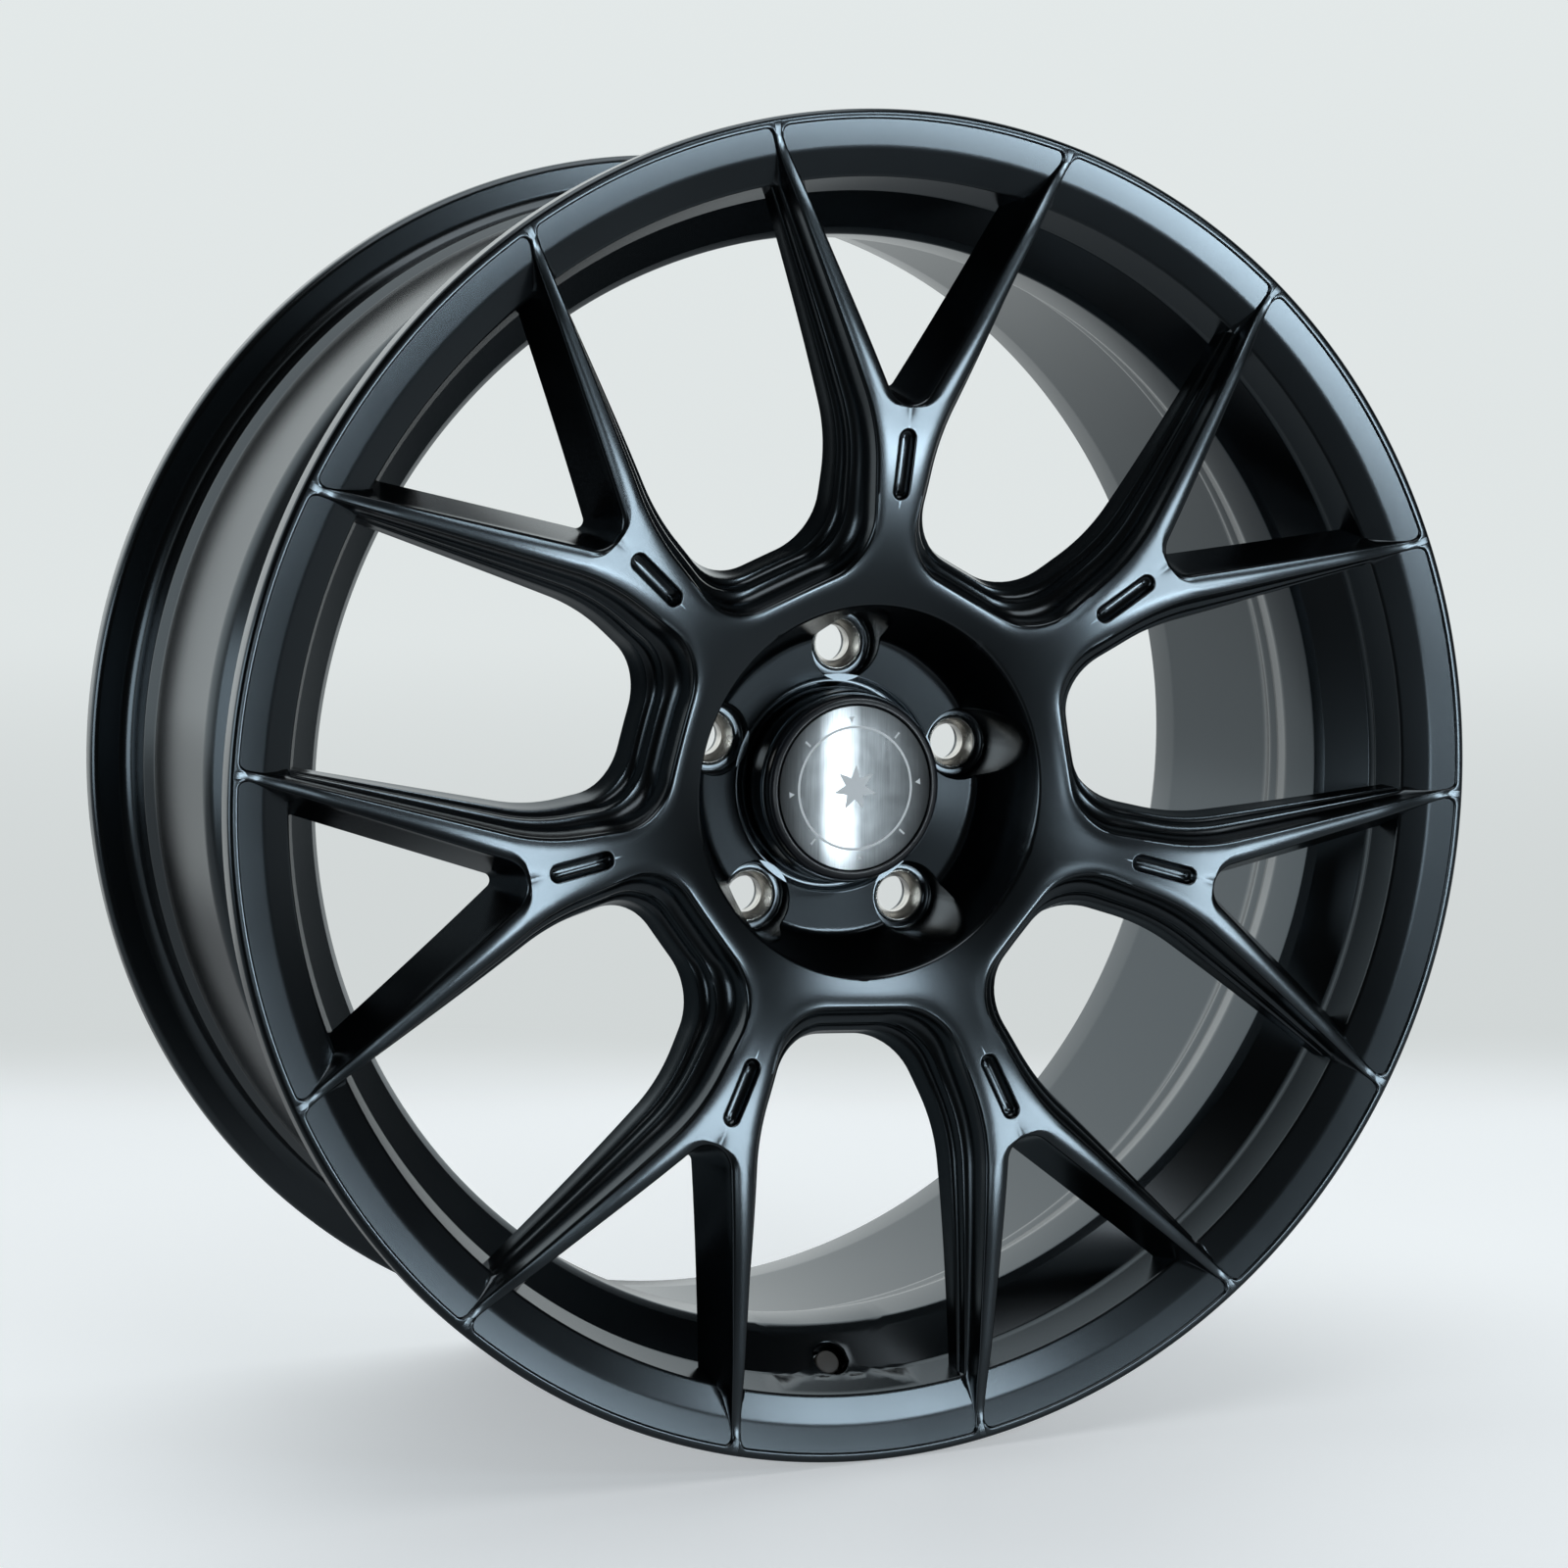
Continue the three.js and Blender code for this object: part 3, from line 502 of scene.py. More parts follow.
def lip_corner(start, direction, inward, count):
    """The arc that rounds the corner between an arm's straight edge and the lip: points and normals."""
    base = start + LIP_CORNER * inward
    reach = LIP_EDGE_RADIUS - LIP_CORNER
    along = base @ direction
    walk = -along + math.sqrt(along ** 2 - base @ base + reach ** 2)
    centre = base + walk * direction
    angle = math.atan2(-inward[1], -inward[0])
    outward = centre / np.linalg.norm(centre)
    turn = math.atan2(outward[1], outward[0]) - angle
    turn = (turn + math.pi) % (2 * math.pi) - math.pi
    sweep = angle + turn * np.linspace(0, 1, count)
    normal = -np.stack([np.cos(sweep), np.sin(sweep)], -1)
    return centre - LIP_CORNER * normal, normal


end_half_width = WINDOW_HALF_WIDTH - (WINDOW_SHOULDER[1] - WINDOW_END) * math.tan(WINDOW_TAPER)
front_path = window_path(
    (end_half_width, WINDOW_END), WINDOW_SHOULDER, WINDOW_CORNER_RADIUS, WINDOW_SHOULDER_RADIUS,
    WINDOW_FAR_HALF_WIDTH)
back_path = window_path(
    BACK_END, BACK_SHOULDER, WINDOW_CORNER_RADIUS, BACK_SHOULDER_RADIUS, BACK_FAR_HALF_WIDTH)
window_edge, window_run, window_walk = dense(front_path)
window_normal = np.stack([window_run[:, 1], -window_run[:, 0]], -1)
if window_normal[0] @ polar(1.0, HALF_PITCH) < 0:
    window_normal = -window_normal
window_radius = np.linalg.norm(window_edge, axis=1)

fork_run = np.array([math.sin(FORK_HALF_ANGLE), math.cos(FORK_HALF_ANGLE)])
fork_normal = np.array([-math.cos(FORK_HALF_ANGLE), math.sin(FORK_HALF_ANGLE)])
fork_centre = np.array([0, FORK_APEX + FORK_FILLET / math.sin(FORK_HALF_ANGLE)])
fork_touch = fork_centre - FORK_FILLET * fork_normal

w_corner, w_corner_normal = lip_corner(window_edge[-1], window_run[-1], window_normal[-1], 9)
v_corner, v_corner_normal = lip_corner(fork_touch, fork_run, fork_normal, 9)


def on_window(walk):
    """Point and normal of the window's edge at a length walked along it."""
    normal = at_walk(walk, window_walk, window_normal)
    return at_walk(walk, window_walk, window_edge), normal / np.linalg.norm(normal, axis=1, keepdims=True)


def walk_at(radius):
    """Length walked along the window's edge where it is at a radius from the axle."""
    return np.interp(radius, window_radius, window_walk)


def on_fork(radius):
    """Points of the fork's straight edge at the given radii."""
    along = fork_touch @ fork_run
    walk = -along + np.sqrt(along ** 2 - fork_touch @ fork_touch + radius ** 2)
    return fork_touch + walk[:, None] * fork_run


def spread(first, last, count):
    """Evenly spaced values after first, up to and with last."""
    return np.linspace(first, last, count + 1)[1:]


# Stations from the hub to the tip: the point on the spoke's inner line and the one on the window edge.
slot_low = SLOT_CENTRE - (SLOT_LENGTH - SLOT_WIDTH) / 2
slot_high = SLOT_CENTRE + (SLOT_LENGTH - SLOT_WIDTH) / 2
slot_reach = SLOT_WIDTH / 2 + SLOT_ROUNDING
quarter = np.linspace(0, math.pi / 2, 7)
bowl_line = polar(BOWL_RADIUS + BOWL_ROUNDING, np.linspace(HALF_PITCH, 0, 17))
stem_line = np.stack([np.zeros(9), spread(BOWL_RADIUS + BOWL_ROUNDING, slot_low - slot_reach, 9)], -1)
slot_line = np.concatenate([
    np.stack([slot_reach * np.sin(quarter[1:]), slot_low - slot_reach * np.cos(quarter[1:])], -1),
    np.stack([np.full(7, slot_reach), spread(slot_low, slot_high, 7)], -1),
    np.stack([slot_reach * np.cos(quarter[1:]), slot_high + slot_reach * np.sin(quarter[1:])], -1),
])
crotch_radius = fork_centre[1] - FORK_FILLET
neck_end = crotch_radius - rounding(crotch_radius)
neck_line = np.stack([np.zeros(4), spread(slot_high + slot_reach, neck_end, 4)], -1)
crotch_sweep = spread(-math.pi / 2, -FORK_HALF_ANGLE, 9)
crotch_normal = -np.stack([np.cos(crotch_sweep), np.sin(crotch_sweep)], -1)
crotch_edge = fork_centre - FORK_FILLET * crotch_normal
tip_fork_radius = np.linalg.norm(v_corner[0])
tip_window_radius = np.linalg.norm(w_corner[0])
fork_touch_radius = np.linalg.norm(fork_touch)
STEP_LOW, STEP_HIGH = 236.4, 238.2
arm_fork_radius = np.concatenate([
    spread(fork_touch_radius, STEP_LOW, 26), [STEP_HIGH], spread(STEP_HIGH, tip_fork_radius, 7)])
arm_window_radius = np.concatenate([
    spread(159, STEP_LOW, 26), [STEP_HIGH], spread(STEP_HIGH, tip_window_radius, 7)])
fork_edge = np.concatenate([[[0, crotch_radius]], crotch_edge, on_fork(arm_fork_radius)])
fork_edge_normal = np.concatenate([
    [[0, 1]], crotch_normal, np.tile(fork_normal, (len(arm_fork_radius), 1))])
fork_round = rounding(np.linalg.norm(fork_edge, axis=1))[:, None]
inner_line = np.concatenate([
    bowl_line, stem_line, slot_line, neck_line[:-1], fork_edge - fork_round * fork_edge_normal])
BOWL_STATIONS = len(bowl_line)
SLOT_FIRST = BOWL_STATIONS + len(stem_line) - 1
SLOT_LAST = SLOT_FIRST + len(slot_line)
FORK_FIRST = len(inner_line) - len(fork_edge)
window_stations = np.concatenate([
    np.linspace(0, walk_at(91.5), BOWL_STATIONS),
    walk_at(spread(91.5, 113.2, len(stem_line))),
    walk_at(np.interp(slot_line[:, 1], [slot_low - slot_reach, slot_high + slot_reach], [113.2, 141.5])),
    walk_at(spread(141.5, 151, len(neck_line))),
    walk_at(spread(151, 159, len(crotch_edge))),
    walk_at(arm_window_radius),
])
window_point, window_out = on_window(window_stations)
window_round = rounding(np.linalg.norm(window_point, axis=1))[:, None]
outer_line = window_point - window_round * window_out


def edge_wall(edge, normal, face_point, inset, shares, foot=0.55):
    """From the face's rim, over a rounded edge and down a wall to the back, one row per station. The
    normal points from the front edge to the back one, which lies an inset away. The wall is the given
    list of (share of the inset, share of the depth). Past the pocket step it is blended into a cove
    that meets the pocket floor."""
    radius = np.linalg.norm(edge, axis=1)
    top = face_depth(np.linalg.norm(face_point, axis=1)) + edge_fall(np.zeros(len(edge)))
    bend = rounding(radius)
    sweep = np.linspace(0, math.pi / 2, ROUNDING_COLUMNS)
    offsets = -bend[:, None] + bend[:, None] * np.sin(sweep)
    depths = top[:, None] + bend[:, None] * (1 - np.cos(sweep))
    bottom = back_depth(np.linalg.norm(edge + inset[:, None] * normal, axis=1))
    start = top + bend
    plain_offset = inset[:, None] * shares[:, 0]
    plain_depth = start[:, None] + (bottom - start)[:, None] * shares[:, 1]
    floor = pocket_floor(radius) + 0.25
    fall = np.maximum(floor - start, 0.1)
    reach = foot * fall + 0.25
    count = len(shares)
    cove = np.linspace(0, 1, count // 2 + 1)[1:] * math.pi / 2
    rest = np.linspace(0, 1, count - len(cove) + 1)[1:]
    foot_offset = np.concatenate([
        reach[:, None] * (1 - np.cos(cove)),
        reach[:, None] + (inset - reach)[:, None] * rest], 1)
    foot_depth = np.concatenate([
        start[:, None] + fall[:, None] * np.sin(cove),
        (start + fall)[:, None] + (bottom - start - fall)[:, None] * rest], 1)
    blend = smooth_step((radius - STEP_LOW) / (STEP_HIGH - STEP_LOW))[:, None]
    offsets = np.concatenate([offsets, plain_offset + blend * (foot_offset - plain_offset)], 1)
    depths = np.concatenate([depths, plain_depth + blend * (foot_depth - plain_depth)], 1)
    spots = edge[:, None] + offsets[..., None] * normal[:, None]
    return spots, depths


def edge_fall(distance):
    """How much a face falls towards a rounded edge, by a parabola over the last few millimetres."""
    return 0.4 * np.clip(1 - distance / 4.5, 0, 1) ** 2


def stepped_wall():
    """Two coves that each end in a ledge, then the last wall: shares of the inset and of the depth."""
    sweep = np.linspace(0, math.pi / 2, 8)[1:]
    first = np.stack([0.47 * (1 - np.cos(sweep)), 0.42 * np.sin(sweep)], -1)
    sweep = np.linspace(0, math.pi / 2, 6)
    second = np.stack([0.51 + 0.26 * (1 - np.cos(sweep)), 0.45 + 0.19 * np.sin(sweep)], -1)
    last = np.array([[0.80, 0.67], [0.84, 0.76], [0.93, 0.90], [0.98, 0.965]])
    return np.concatenate([first, second, last])


def window_back(walk):
    """Points on the window's back edge that belong to lengths walked along its front edge: both paths
    have the same corners, and between those the lengths are matched in proportion."""
    front_walked, back_walked = walked_along(front_path), walked_along(back_path)
    return at_walk(np.interp(walk, front_walked, back_walked), back_walked, back_path)


def spread_face(inner, outer, inner_is_edge):
    """The face between its two lines, at the dish's depth and fallen a little towards its edges."""
    share = np.linspace(0, 1, FACE_COLUMNS)
    share = share - 0.08 * np.sin(2 * math.pi * share)
    spots = inner[:, None] + (outer - inner)[:, None] * share[None, :, None]
    width = np.linalg.norm(outer - inner, axis=1)[:, None]
    is_edge = inner_is_edge[:, None]
    fall = edge_fall((1 - share) * width) + edge_fall(share * width) * is_edge
    both = edge_fall(width) * (1 - share + share * is_edge)
    return spots, face_depth(np.linalg.norm(spots, axis=-1)) + fall - both


stations = len(inner_line)
is_fork = (np.arange(stations) >= FORK_FIRST).astype(float)
is_fork[FORK_FIRST - 3:FORK_FIRST] = [0.25, 0.5, 0.75]
face_spots, face_depths = spread_face(inner_line, outer_line, is_fork)
inset = np.linalg.norm(window_back(window_stations) - window_point, axis=1)
window_in = (window_back(window_stations) - window_point) / inset[:, None]
wall_spots, wall_depths = edge_wall(window_point, window_in, outer_line, inset, stepped_wall())
back_rim = window_point + (inset - BACK_MARGIN)[:, None] * window_in
fork_inset = np.full(len(fork_edge), FORK_INSET)
plain_wall = np.stack([np.linspace(0, 1, 9)[1:] * 0.94, np.linspace(0, 1, 9)[1:] * 0.965], -1)
fork_spots, fork_depths = edge_wall(
    fork_edge, fork_edge_normal, inner_line[FORK_FIRST:], fork_inset, plain_wall)
back_spine = spread(
    HUB_PAD_RADIUS, crotch_radius + FORK_INSET - BACK_MARGIN, FORK_FIRST - BOWL_STATIONS + 1)[:-1]
back_line = np.concatenate([
    polar(HUB_PAD_RADIUS, np.linspace(HALF_PITCH, 0, BOWL_STATIONS)),
    np.stack([np.zeros(len(back_spine)), back_spine], -1),
    fork_edge + (FORK_INSET - BACK_MARGIN) * fork_edge_normal,
])
back_share = np.linspace(1, 0, 8)[None, :, None]
back_spots = back_line[:, None] + (back_rim - back_line)[:, None] * back_share
back_depths = back_depth(np.linalg.norm(back_spots, axis=-1))
over_spots = np.concatenate([face_spots, wall_spots[:, 1:], back_spots], 1)
over_depths = np.concatenate([face_depths, wall_depths[:, 1:], back_depths], 1)
tip_middle = np.array([*over_spots[-1].mean(0), over_depths[-1].mean()])


def with_tip(spots, depths):
    """The patch with one more station, drawn together to a point inside the rim, which closes the arm."""
    spots = np.concatenate([spots, np.broadcast_to(tip_middle[:2], spots[:1].shape)])
    depths = np.concatenate([depths, np.full(depths[:1].shape, tip_middle[2])])
    return spots, depths


over = with_tip(over_spots, over_depths)
fork_back = back_line[FORK_FIRST:, None]
fork = with_tip(
    np.concatenate([fork_spots, fork_back], 1),
    np.concatenate([fork_depths, back_depth(np.linalg.norm(fork_back, axis=-1))], 1))


def slot_patch():
    """Half of the blind slot: over its rounded edge, then a round-bottomed groove down to its middle."""
    line = inner_line[SLOT_FIRST:SLOT_LAST + 1]
    spine = np.stack([np.zeros(len(line)), np.clip(line[:, 1], slot_low, slot_high)], -1)
    reach = (line - spine) / slot_reach
    top = face_depths[SLOT_FIRST:SLOT_LAST + 1, 0]
    sweep = np.linspace(0, math.pi / 2, 4)
    edge_reach = slot_reach - SLOT_ROUNDING * np.sin(sweep)
    edge_down = SLOT_ROUNDING * (1 - np.cos(sweep))
    groove = np.linspace(0, math.pi / 2, 9)[1:]
    groove_reach = SLOT_WIDTH / 2 * np.cos(groove)
    groove_down = SLOT_WALL_DEPTH + (SLOT_DEPTH - SLOT_WALL_DEPTH) * np.sin(groove)
    reaches = np.concatenate([edge_reach, [SLOT_WIDTH / 2], groove_reach])
    downs = np.concatenate([edge_down, [SLOT_WALL_DEPTH], groove_down])
    spots = spine[:, None] + reach[:, None] * reaches[None, :, None]
    return spots, top[:, None] + downs


hub_side = np.stack([inner_line[:BOWL_STATIONS], back_line[:BOWL_STATIONS]], 1)
hub_side_depths = np.stack([face_depths[:BOWL_STATIONS, 0], back_depths[:BOWL_STATIONS, -1]], 1)


def turned_by(points, angle):
    """Points (across, up) turned clockwise about the axle, seen from the front."""
    sine, cosine = math.sin(angle), math.cos(angle)
    across, up = points[..., 0], points[..., 1]
    return np.stack([across * cosine + up * sine, up * cosine - across * sine], -1)


def round_the_wheel(spots, depths, count=SPOKE_COUNT, sides=(1, -1), closed=False):
    """The patch repeated round the axle, with its mirror image unless one side is asked for, as patches
    in the row's frame."""
    made = []
    for number in range(count):
        for side in sides:
            spot = turned_by(spots * (side, 1), number * 2 * math.pi / count)
            made.append((to_row(spot[..., 0], depths, spot[..., 1]), (False, closed)))
    return made


spoke_patches = round_the_wheel(*over) + round_the_wheel(*fork) + round_the_wheel(*slot_patch())
spoke_patches += round_the_wheel(hub_side, hub_side_depths)
make_piece("spokes", spoke_patches, SATIN_BLACK, "wheel", ["wheel_forging"])

# ------------------------------------------------------------------ lip
# The narrow front face of the outer flange. Its inner edge follows the pockets, rounds into each arm
# and carries on over the arms' tips, so that the spoke faces run out into it.
LIP_ROUNDING = 1.9
SKIRT_DEPTHS = (2.6, 1.4)
SKIRT_OFFSET = 0.35
LIP_BACK_DEPTH = 3.4
LIP_BACK_INSETS = (0.15, 1.6)


def lip_patch():
    """Half a pitch of the lip: a path along the pocket edges and over the arm tip, joined radially to
    the flange's rounded outer edge."""
    window_end = np.arctan2(w_corner[-1, 0], w_corner[-1, 1])
    fork_end = np.arctan2(v_corner[-1, 0], v_corner[-1, 1])
    window_arc = polar(LIP_EDGE_RADIUS, np.linspace(HALF_PITCH, window_end, 15))[:-1]
    fork_arc = polar(LIP_EDGE_RADIUS, np.linspace(fork_end, 0, 15))[1:]
    edge = np.concatenate([window_arc, w_corner[::-1], face_spots[-1, ::-1], v_corner, fork_arc])
    normal = np.concatenate([
        -window_arc / LIP_EDGE_RADIUS, w_corner_normal[::-1], np.zeros((FACE_COLUMNS, 2)),
        v_corner_normal, -fork_arc / LIP_EDGE_RADIUS])
    radius = np.linalg.norm(edge, axis=1)
    bend = rounding(radius)[:, None]
    rim_spot = edge - bend * normal
    top = face_depth(np.linalg.norm(rim_spot, axis=1))
    across_tip = slice(len(window_arc) + len(w_corner), len(window_arc) + len(w_corner) + FACE_COLUMNS)
    top[across_tip] = face_depths[-1, ::-1]
    sweep = np.linspace(math.pi / 2, 0, ROUNDING_COLUMNS)
    side_offsets = np.concatenate([[SKIRT_OFFSET, SKIRT_OFFSET], np.sin(sweep) - 1])
    side_depths = np.concatenate([SKIRT_DEPTHS, 1 - np.cos(sweep)])
    lean = np.concatenate([np.ones(2), bend[0] * np.ones(ROUNDING_COLUMNS)])
    side = edge[:, None] + (side_offsets * lean)[None, :, None] * normal[:, None]
    side_down = top[:, None] + side_depths * lean
    angle = np.minimum.accumulate(np.arctan2(rim_spot[:, 0], rim_spot[:, 1]))
    middle_radius = FLANGE_RADIUS - LIP_ROUNDING
    turn = np.linspace(0, math.pi / 2, 6)
    outer_radius = np.concatenate([
        middle_radius + LIP_ROUNDING * np.sin(turn), [FLANGE_RADIUS - inset for inset in LIP_BACK_INSETS]])
    outer_down = np.concatenate([LIP_ROUNDING * (1 - np.cos(turn)), [LIP_BACK_DEPTH, LIP_BACK_DEPTH]])
    outer = polar(outer_radius[None, :], angle[:, None])
    between = (rim_spot + outer[:, 0]) / 2
    spots = np.concatenate([side, between[:, None], outer], 1)
    outer_depths = np.broadcast_to(outer_down, (len(edge), len(outer_down)))
    depths = np.concatenate([side_down, top[:, None] / 2, outer_depths], 1)
    return spots, depths


lip_spots, lip_depths = lip_patch()
lip_patches = [(points, (False, True)) for points, _ in round_the_wheel(lip_spots, lip_depths)]
make_piece("front_lip", lip_patches, SATIN_BLACK, "wheel", ["wheel_forging"])

# ------------------------------------------------------------------ hub
# The middle of the forging: a deep bowl with a sloped ring of lug pads, five drafted lug pockets cut
# into its wall, a groove, the nose that holds the centre cap, and the flat pad that bolts to the car.
LUG_COUNT = 5
LUG_CIRCLE_RADIUS = 56.0
LUG_POCKET_RADIUS = 14.0
LUG_POCKET_FLARE = 1.6
LUG_POCKET_FILLET = 1.4
LUG_SEAT_DEPTH = 60.0
LUG_BOLT_RADIUS = 8.2
SEAT_BORE_RADIUS = 10.8
SEAT_END_DEPTH = 71.0
PAD_INNER_RADIUS = 44.1
CENTRE_BORE_RADIUS = 33.25
HUB_FACE_DEPTH = 75.0
PAD_CHAMFER = 0.7
NOSE_DEPTH = 41.3
NOSE_RADIUS = 37.2
GROOVE_DEPTH = 60.5

bowl_wall = rounded([
    (BOWL_RADIUS + BOWL_ROUNDING + 6, float(face_depth(BOWL_RADIUS + BOWL_ROUNDING + 6)), 0, 1),
    (BOWL_RADIUS, float(face_depth(BOWL_RADIUS)), 1.8, 12),
    (60.6, 51.0, 4.5, 16),
    (PAD_INNER_RADIUS, 54.5, 0, 1),
])[::-1]
RIM_OF_BOWL = BOWL_RADIUS + BOWL_ROUNDING


def bowl_depth(radius):
    """Depth of the bowl's wall at a radius from the axle."""
    return np.interp(radius, bowl_wall[:, 0], bowl_wall[:, 1])


def sector_border(inner_radius, outer_radius, arc_cells, side_cells):
    """The closed border of one lug's share of a ring, in order round it."""
    half = math.pi / LUG_COUNT
    outer = polar(outer_radius, np.linspace(-half, half, arc_cells + 1))[:-1]
    right = polar(np.linspace(outer_radius, inner_radius, side_cells + 1), half)[:-1]
    inner = polar(inner_radius, np.linspace(half, -half, arc_cells + 1))[:-1]
    left = polar(np.linspace(inner_radius, outer_radius, side_cells + 1), -half)[:-1]
    return np.concatenate([outer, right, inner, left])


def around_lugs(spots, depths):
    """The patch at every lug, closed round the lug, as patches in the row's frame."""
    return round_the_wheel(spots, depths, LUG_COUNT, (1,), True)


def lug_patch():
    """From the lug's seat bore up its drafted pocket wall, over the edge and out to the sector's border."""
    centre = np.array([0, LUG_CIRCLE_RADIUS])
    border = sector_border(PAD_INNER_RADIUS, RIM_OF_BOWL, 44, 22)
    direction = border - centre
    direction /= np.linalg.norm(direction, axis=1, keepdims=True)
    pocket = np.full(len(border), LUG_POCKET_RADIUS)
    for _ in range(6):
        depth = bowl_depth(np.linalg.norm(centre + pocket[:, None] * direction, axis=1))
        pocket = LUG_POCKET_RADIUS + LUG_POCKET_FLARE * (LUG_SEAT_DEPTH - depth) / 40
    rows, downs = [], []
    bend = np.linspace(0, math.pi / 2, 5)
    for reach, down in ((SEAT_BORE_RADIUS, SEAT_END_DEPTH), (SEAT_BORE_RADIUS, LUG_SEAT_DEPTH + 0.4),
                        (SEAT_BORE_RADIUS + 0.4, LUG_SEAT_DEPTH)):
        rows.append(centre + reach * direction)
        downs.append(np.full(len(border), down))
    inner_reach = LUG_POCKET_RADIUS - LUG_POCKET_FILLET
    for reach, lift in zip(np.sin(bend), 1 - np.cos(bend)):
        rows.append(centre + (inner_reach + LUG_POCKET_FILLET * reach) * direction)
        downs.append(np.full(len(border), LUG_SEAT_DEPTH - LUG_POCKET_FILLET * lift))
    low = LUG_SEAT_DEPTH - LUG_POCKET_FILLET
    for share in spread(0, 1, 6):
        reach = LUG_POCKET_RADIUS + (pocket - LUG_POCKET_RADIUS) * share
        rows.append(centre + reach[:, None] * direction)
        downs.append(low + (depth + 0.5 - low) * share)
    first = centre + (pocket + 0.45)[:, None] * direction
    for share in np.linspace(0, 1, 26) ** 1.15:
        spot = first + (border - first) * share
        rows.append(spot)
        downs.append(bowl_depth(np.linalg.norm(spot, axis=1)))
    return np.stack(rows), np.stack(downs)


def pad_patch():
    """The flat mounting pad round one bolt hole, with a small chamfer, from inside the hole outwards."""
    centre = np.array([0, LUG_CIRCLE_RADIUS])
    border = sector_border(CENTRE_BORE_RADIUS + 1.2, HUB_PAD_RADIUS, 44, 22)
    direction = border - centre
    direction /= np.linalg.norm(direction, axis=1, keepdims=True)
    ring = [(SEAT_BORE_RADIUS, SEAT_END_DEPTH), (LUG_BOLT_RADIUS, SEAT_END_DEPTH),
            (LUG_BOLT_RADIUS, HUB_FACE_DEPTH - PAD_CHAMFER),
            (LUG_BOLT_RADIUS + PAD_CHAMFER, HUB_FACE_DEPTH)]
    rows = [centre + reach * direction for reach, _ in ring]
    downs = [np.full(len(border), down) for _, down in ring]
    for share in spread(0, 1, 5):
        rows.append(rows[3] + (border - rows[3]) * share)
        downs.append(np.full(len(border), HUB_FACE_DEPTH))
    return np.stack(rows), np.stack(downs)


def border_angles(count):
    """Angles of the sector borders' arc points, all the way round the axle."""
    half = math.pi / LUG_COUNT
    share = np.linspace(-half, half, count + 1)[:-1]
    return np.concatenate([share + lug * 2 * half for lug in range(LUG_COUNT)])


hub_patches = around_lugs(*lug_patch()) + around_lugs(*pad_patch())
nose = rounded([
    (PAD_INNER_RADIUS, 54.5, 0, 1),
    (PAD_INNER_RADIUS - 1.0, 54.7, 0.5, 4),
    (PAD_INNER_RADIUS - 1.3, GROOVE_DEPTH, 1.5, 5),
    (NOSE_RADIUS + 2.2, GROOVE_DEPTH, 1.5, 5),
    (NOSE_RADIUS + 1.0, NOSE_DEPTH, 1.2, 6),
    (CENTRE_BORE_RADIUS, NOSE_DEPTH, 0.6, 4),
    (CENTRE_BORE_RADIUS, HUB_FACE_DEPTH - 1.2, 0, 1),
    (CENTRE_BORE_RADIUS + 1.2, HUB_FACE_DEPTH, 0, 1),
])
hub_patches.append((turned(nose, border_angles(44)), (False, True)))
shell = np.array([[HUB_PAD_RADIUS, HUB_FACE_DEPTH], [RIM_OF_BOWL, float(bowl_depth(RIM_OF_BOWL))]])
hub_patches.append((turned(shell, border_angles(44)), (False, True)))
make_piece("hub", hub_patches, SATIN_BLACK, "wheel", ["wheel_forging"])

# ------------------------------------------------------------------ lug seats
# Five steel seats pressed into the hub. Each is turned, with a 60 degree cone for the lug bolt, a
# rounded rim and a plain bore, and is left bare, so it shows fine tool marks.
SEAT_RIM_RADIUS = 10.5
SEAT_CONE_RADIUS = 9.8
SEAT_BORE = 7.2
SEAT_CONE_END = 65.0
LUG_SEAT_END = 70.7


def tool_marks_group():
    """Node group: fine rings or lines left by turning or brushing, as streaks of noise drawn out along
    the directions where Stretch is small, with a broader noise for smudges."""
    group, inside, outside = new_group(
        "tool_marks", {"Stretch": DIRECTION, "Fineness": VALUE},
        {"Height": VALUE, "Streaks": VALUE, "Smudges": VALUE})
    place = wired(group, "TexCoord", {}).outputs["Object"]
    drawn = wired(group, "VectorMath", {0: place, 1: inside.outputs["Stretch"]}, operation="MULTIPLY")
    lines = wired(group, "TexNoise", {
        "Vector": drawn.outputs[0], "Scale": inside.outputs["Fineness"], "Detail": 5})
    smudge = wired(group, "TexNoise", {"Vector": place, "Scale": 160, "Detail": 3})
    connect(group, outside, {
        "Height": lines.outputs["Fac"], "Streaks": lines.outputs["Fac"], "Smudges": smudge.outputs["Fac"]})
    return group


TOOL_MARKS = tool_marks_group()


def bare_metal(name, dark, bright, roughness, stretch, fineness):
    """Turned or brushed metal: streaks between two tones, gloss that follows them and a fine bump."""
    material, tree, shader = new_material(name)
    marks = wired(tree, "Group", {"Stretch": stretch, "Fineness": fineness}, node_tree=TOOL_MARKS)
    tones = wired(tree, "MapRange", {
        "Value": marks.outputs["Streaks"], "From Min": 0.32, "From Max": 0.68})
    colour = wired(tree, "Mix", {
        "A": (*dark, 1), "B": (*bright, 1), "Factor": tones.outputs["Result"]}, data_type="RGBA")
    gloss = wired(tree, "MapRange", {
        "Value": marks.outputs["Smudges"], "To Min": roughness - 0.07, "To Max": roughness + 0.09})
    bump = wired(tree, "Bump", {
        "Strength": 0.5, "Distance": 0.00002, "Height": marks.outputs["Height"]})
    connect(tree, shader, {
        "Metallic": 1.0, "Base Color": colour.outputs["Result"], "Roughness": gloss.outputs["Result"],
        "Normal": bump.outputs["Normal"]})
    return material


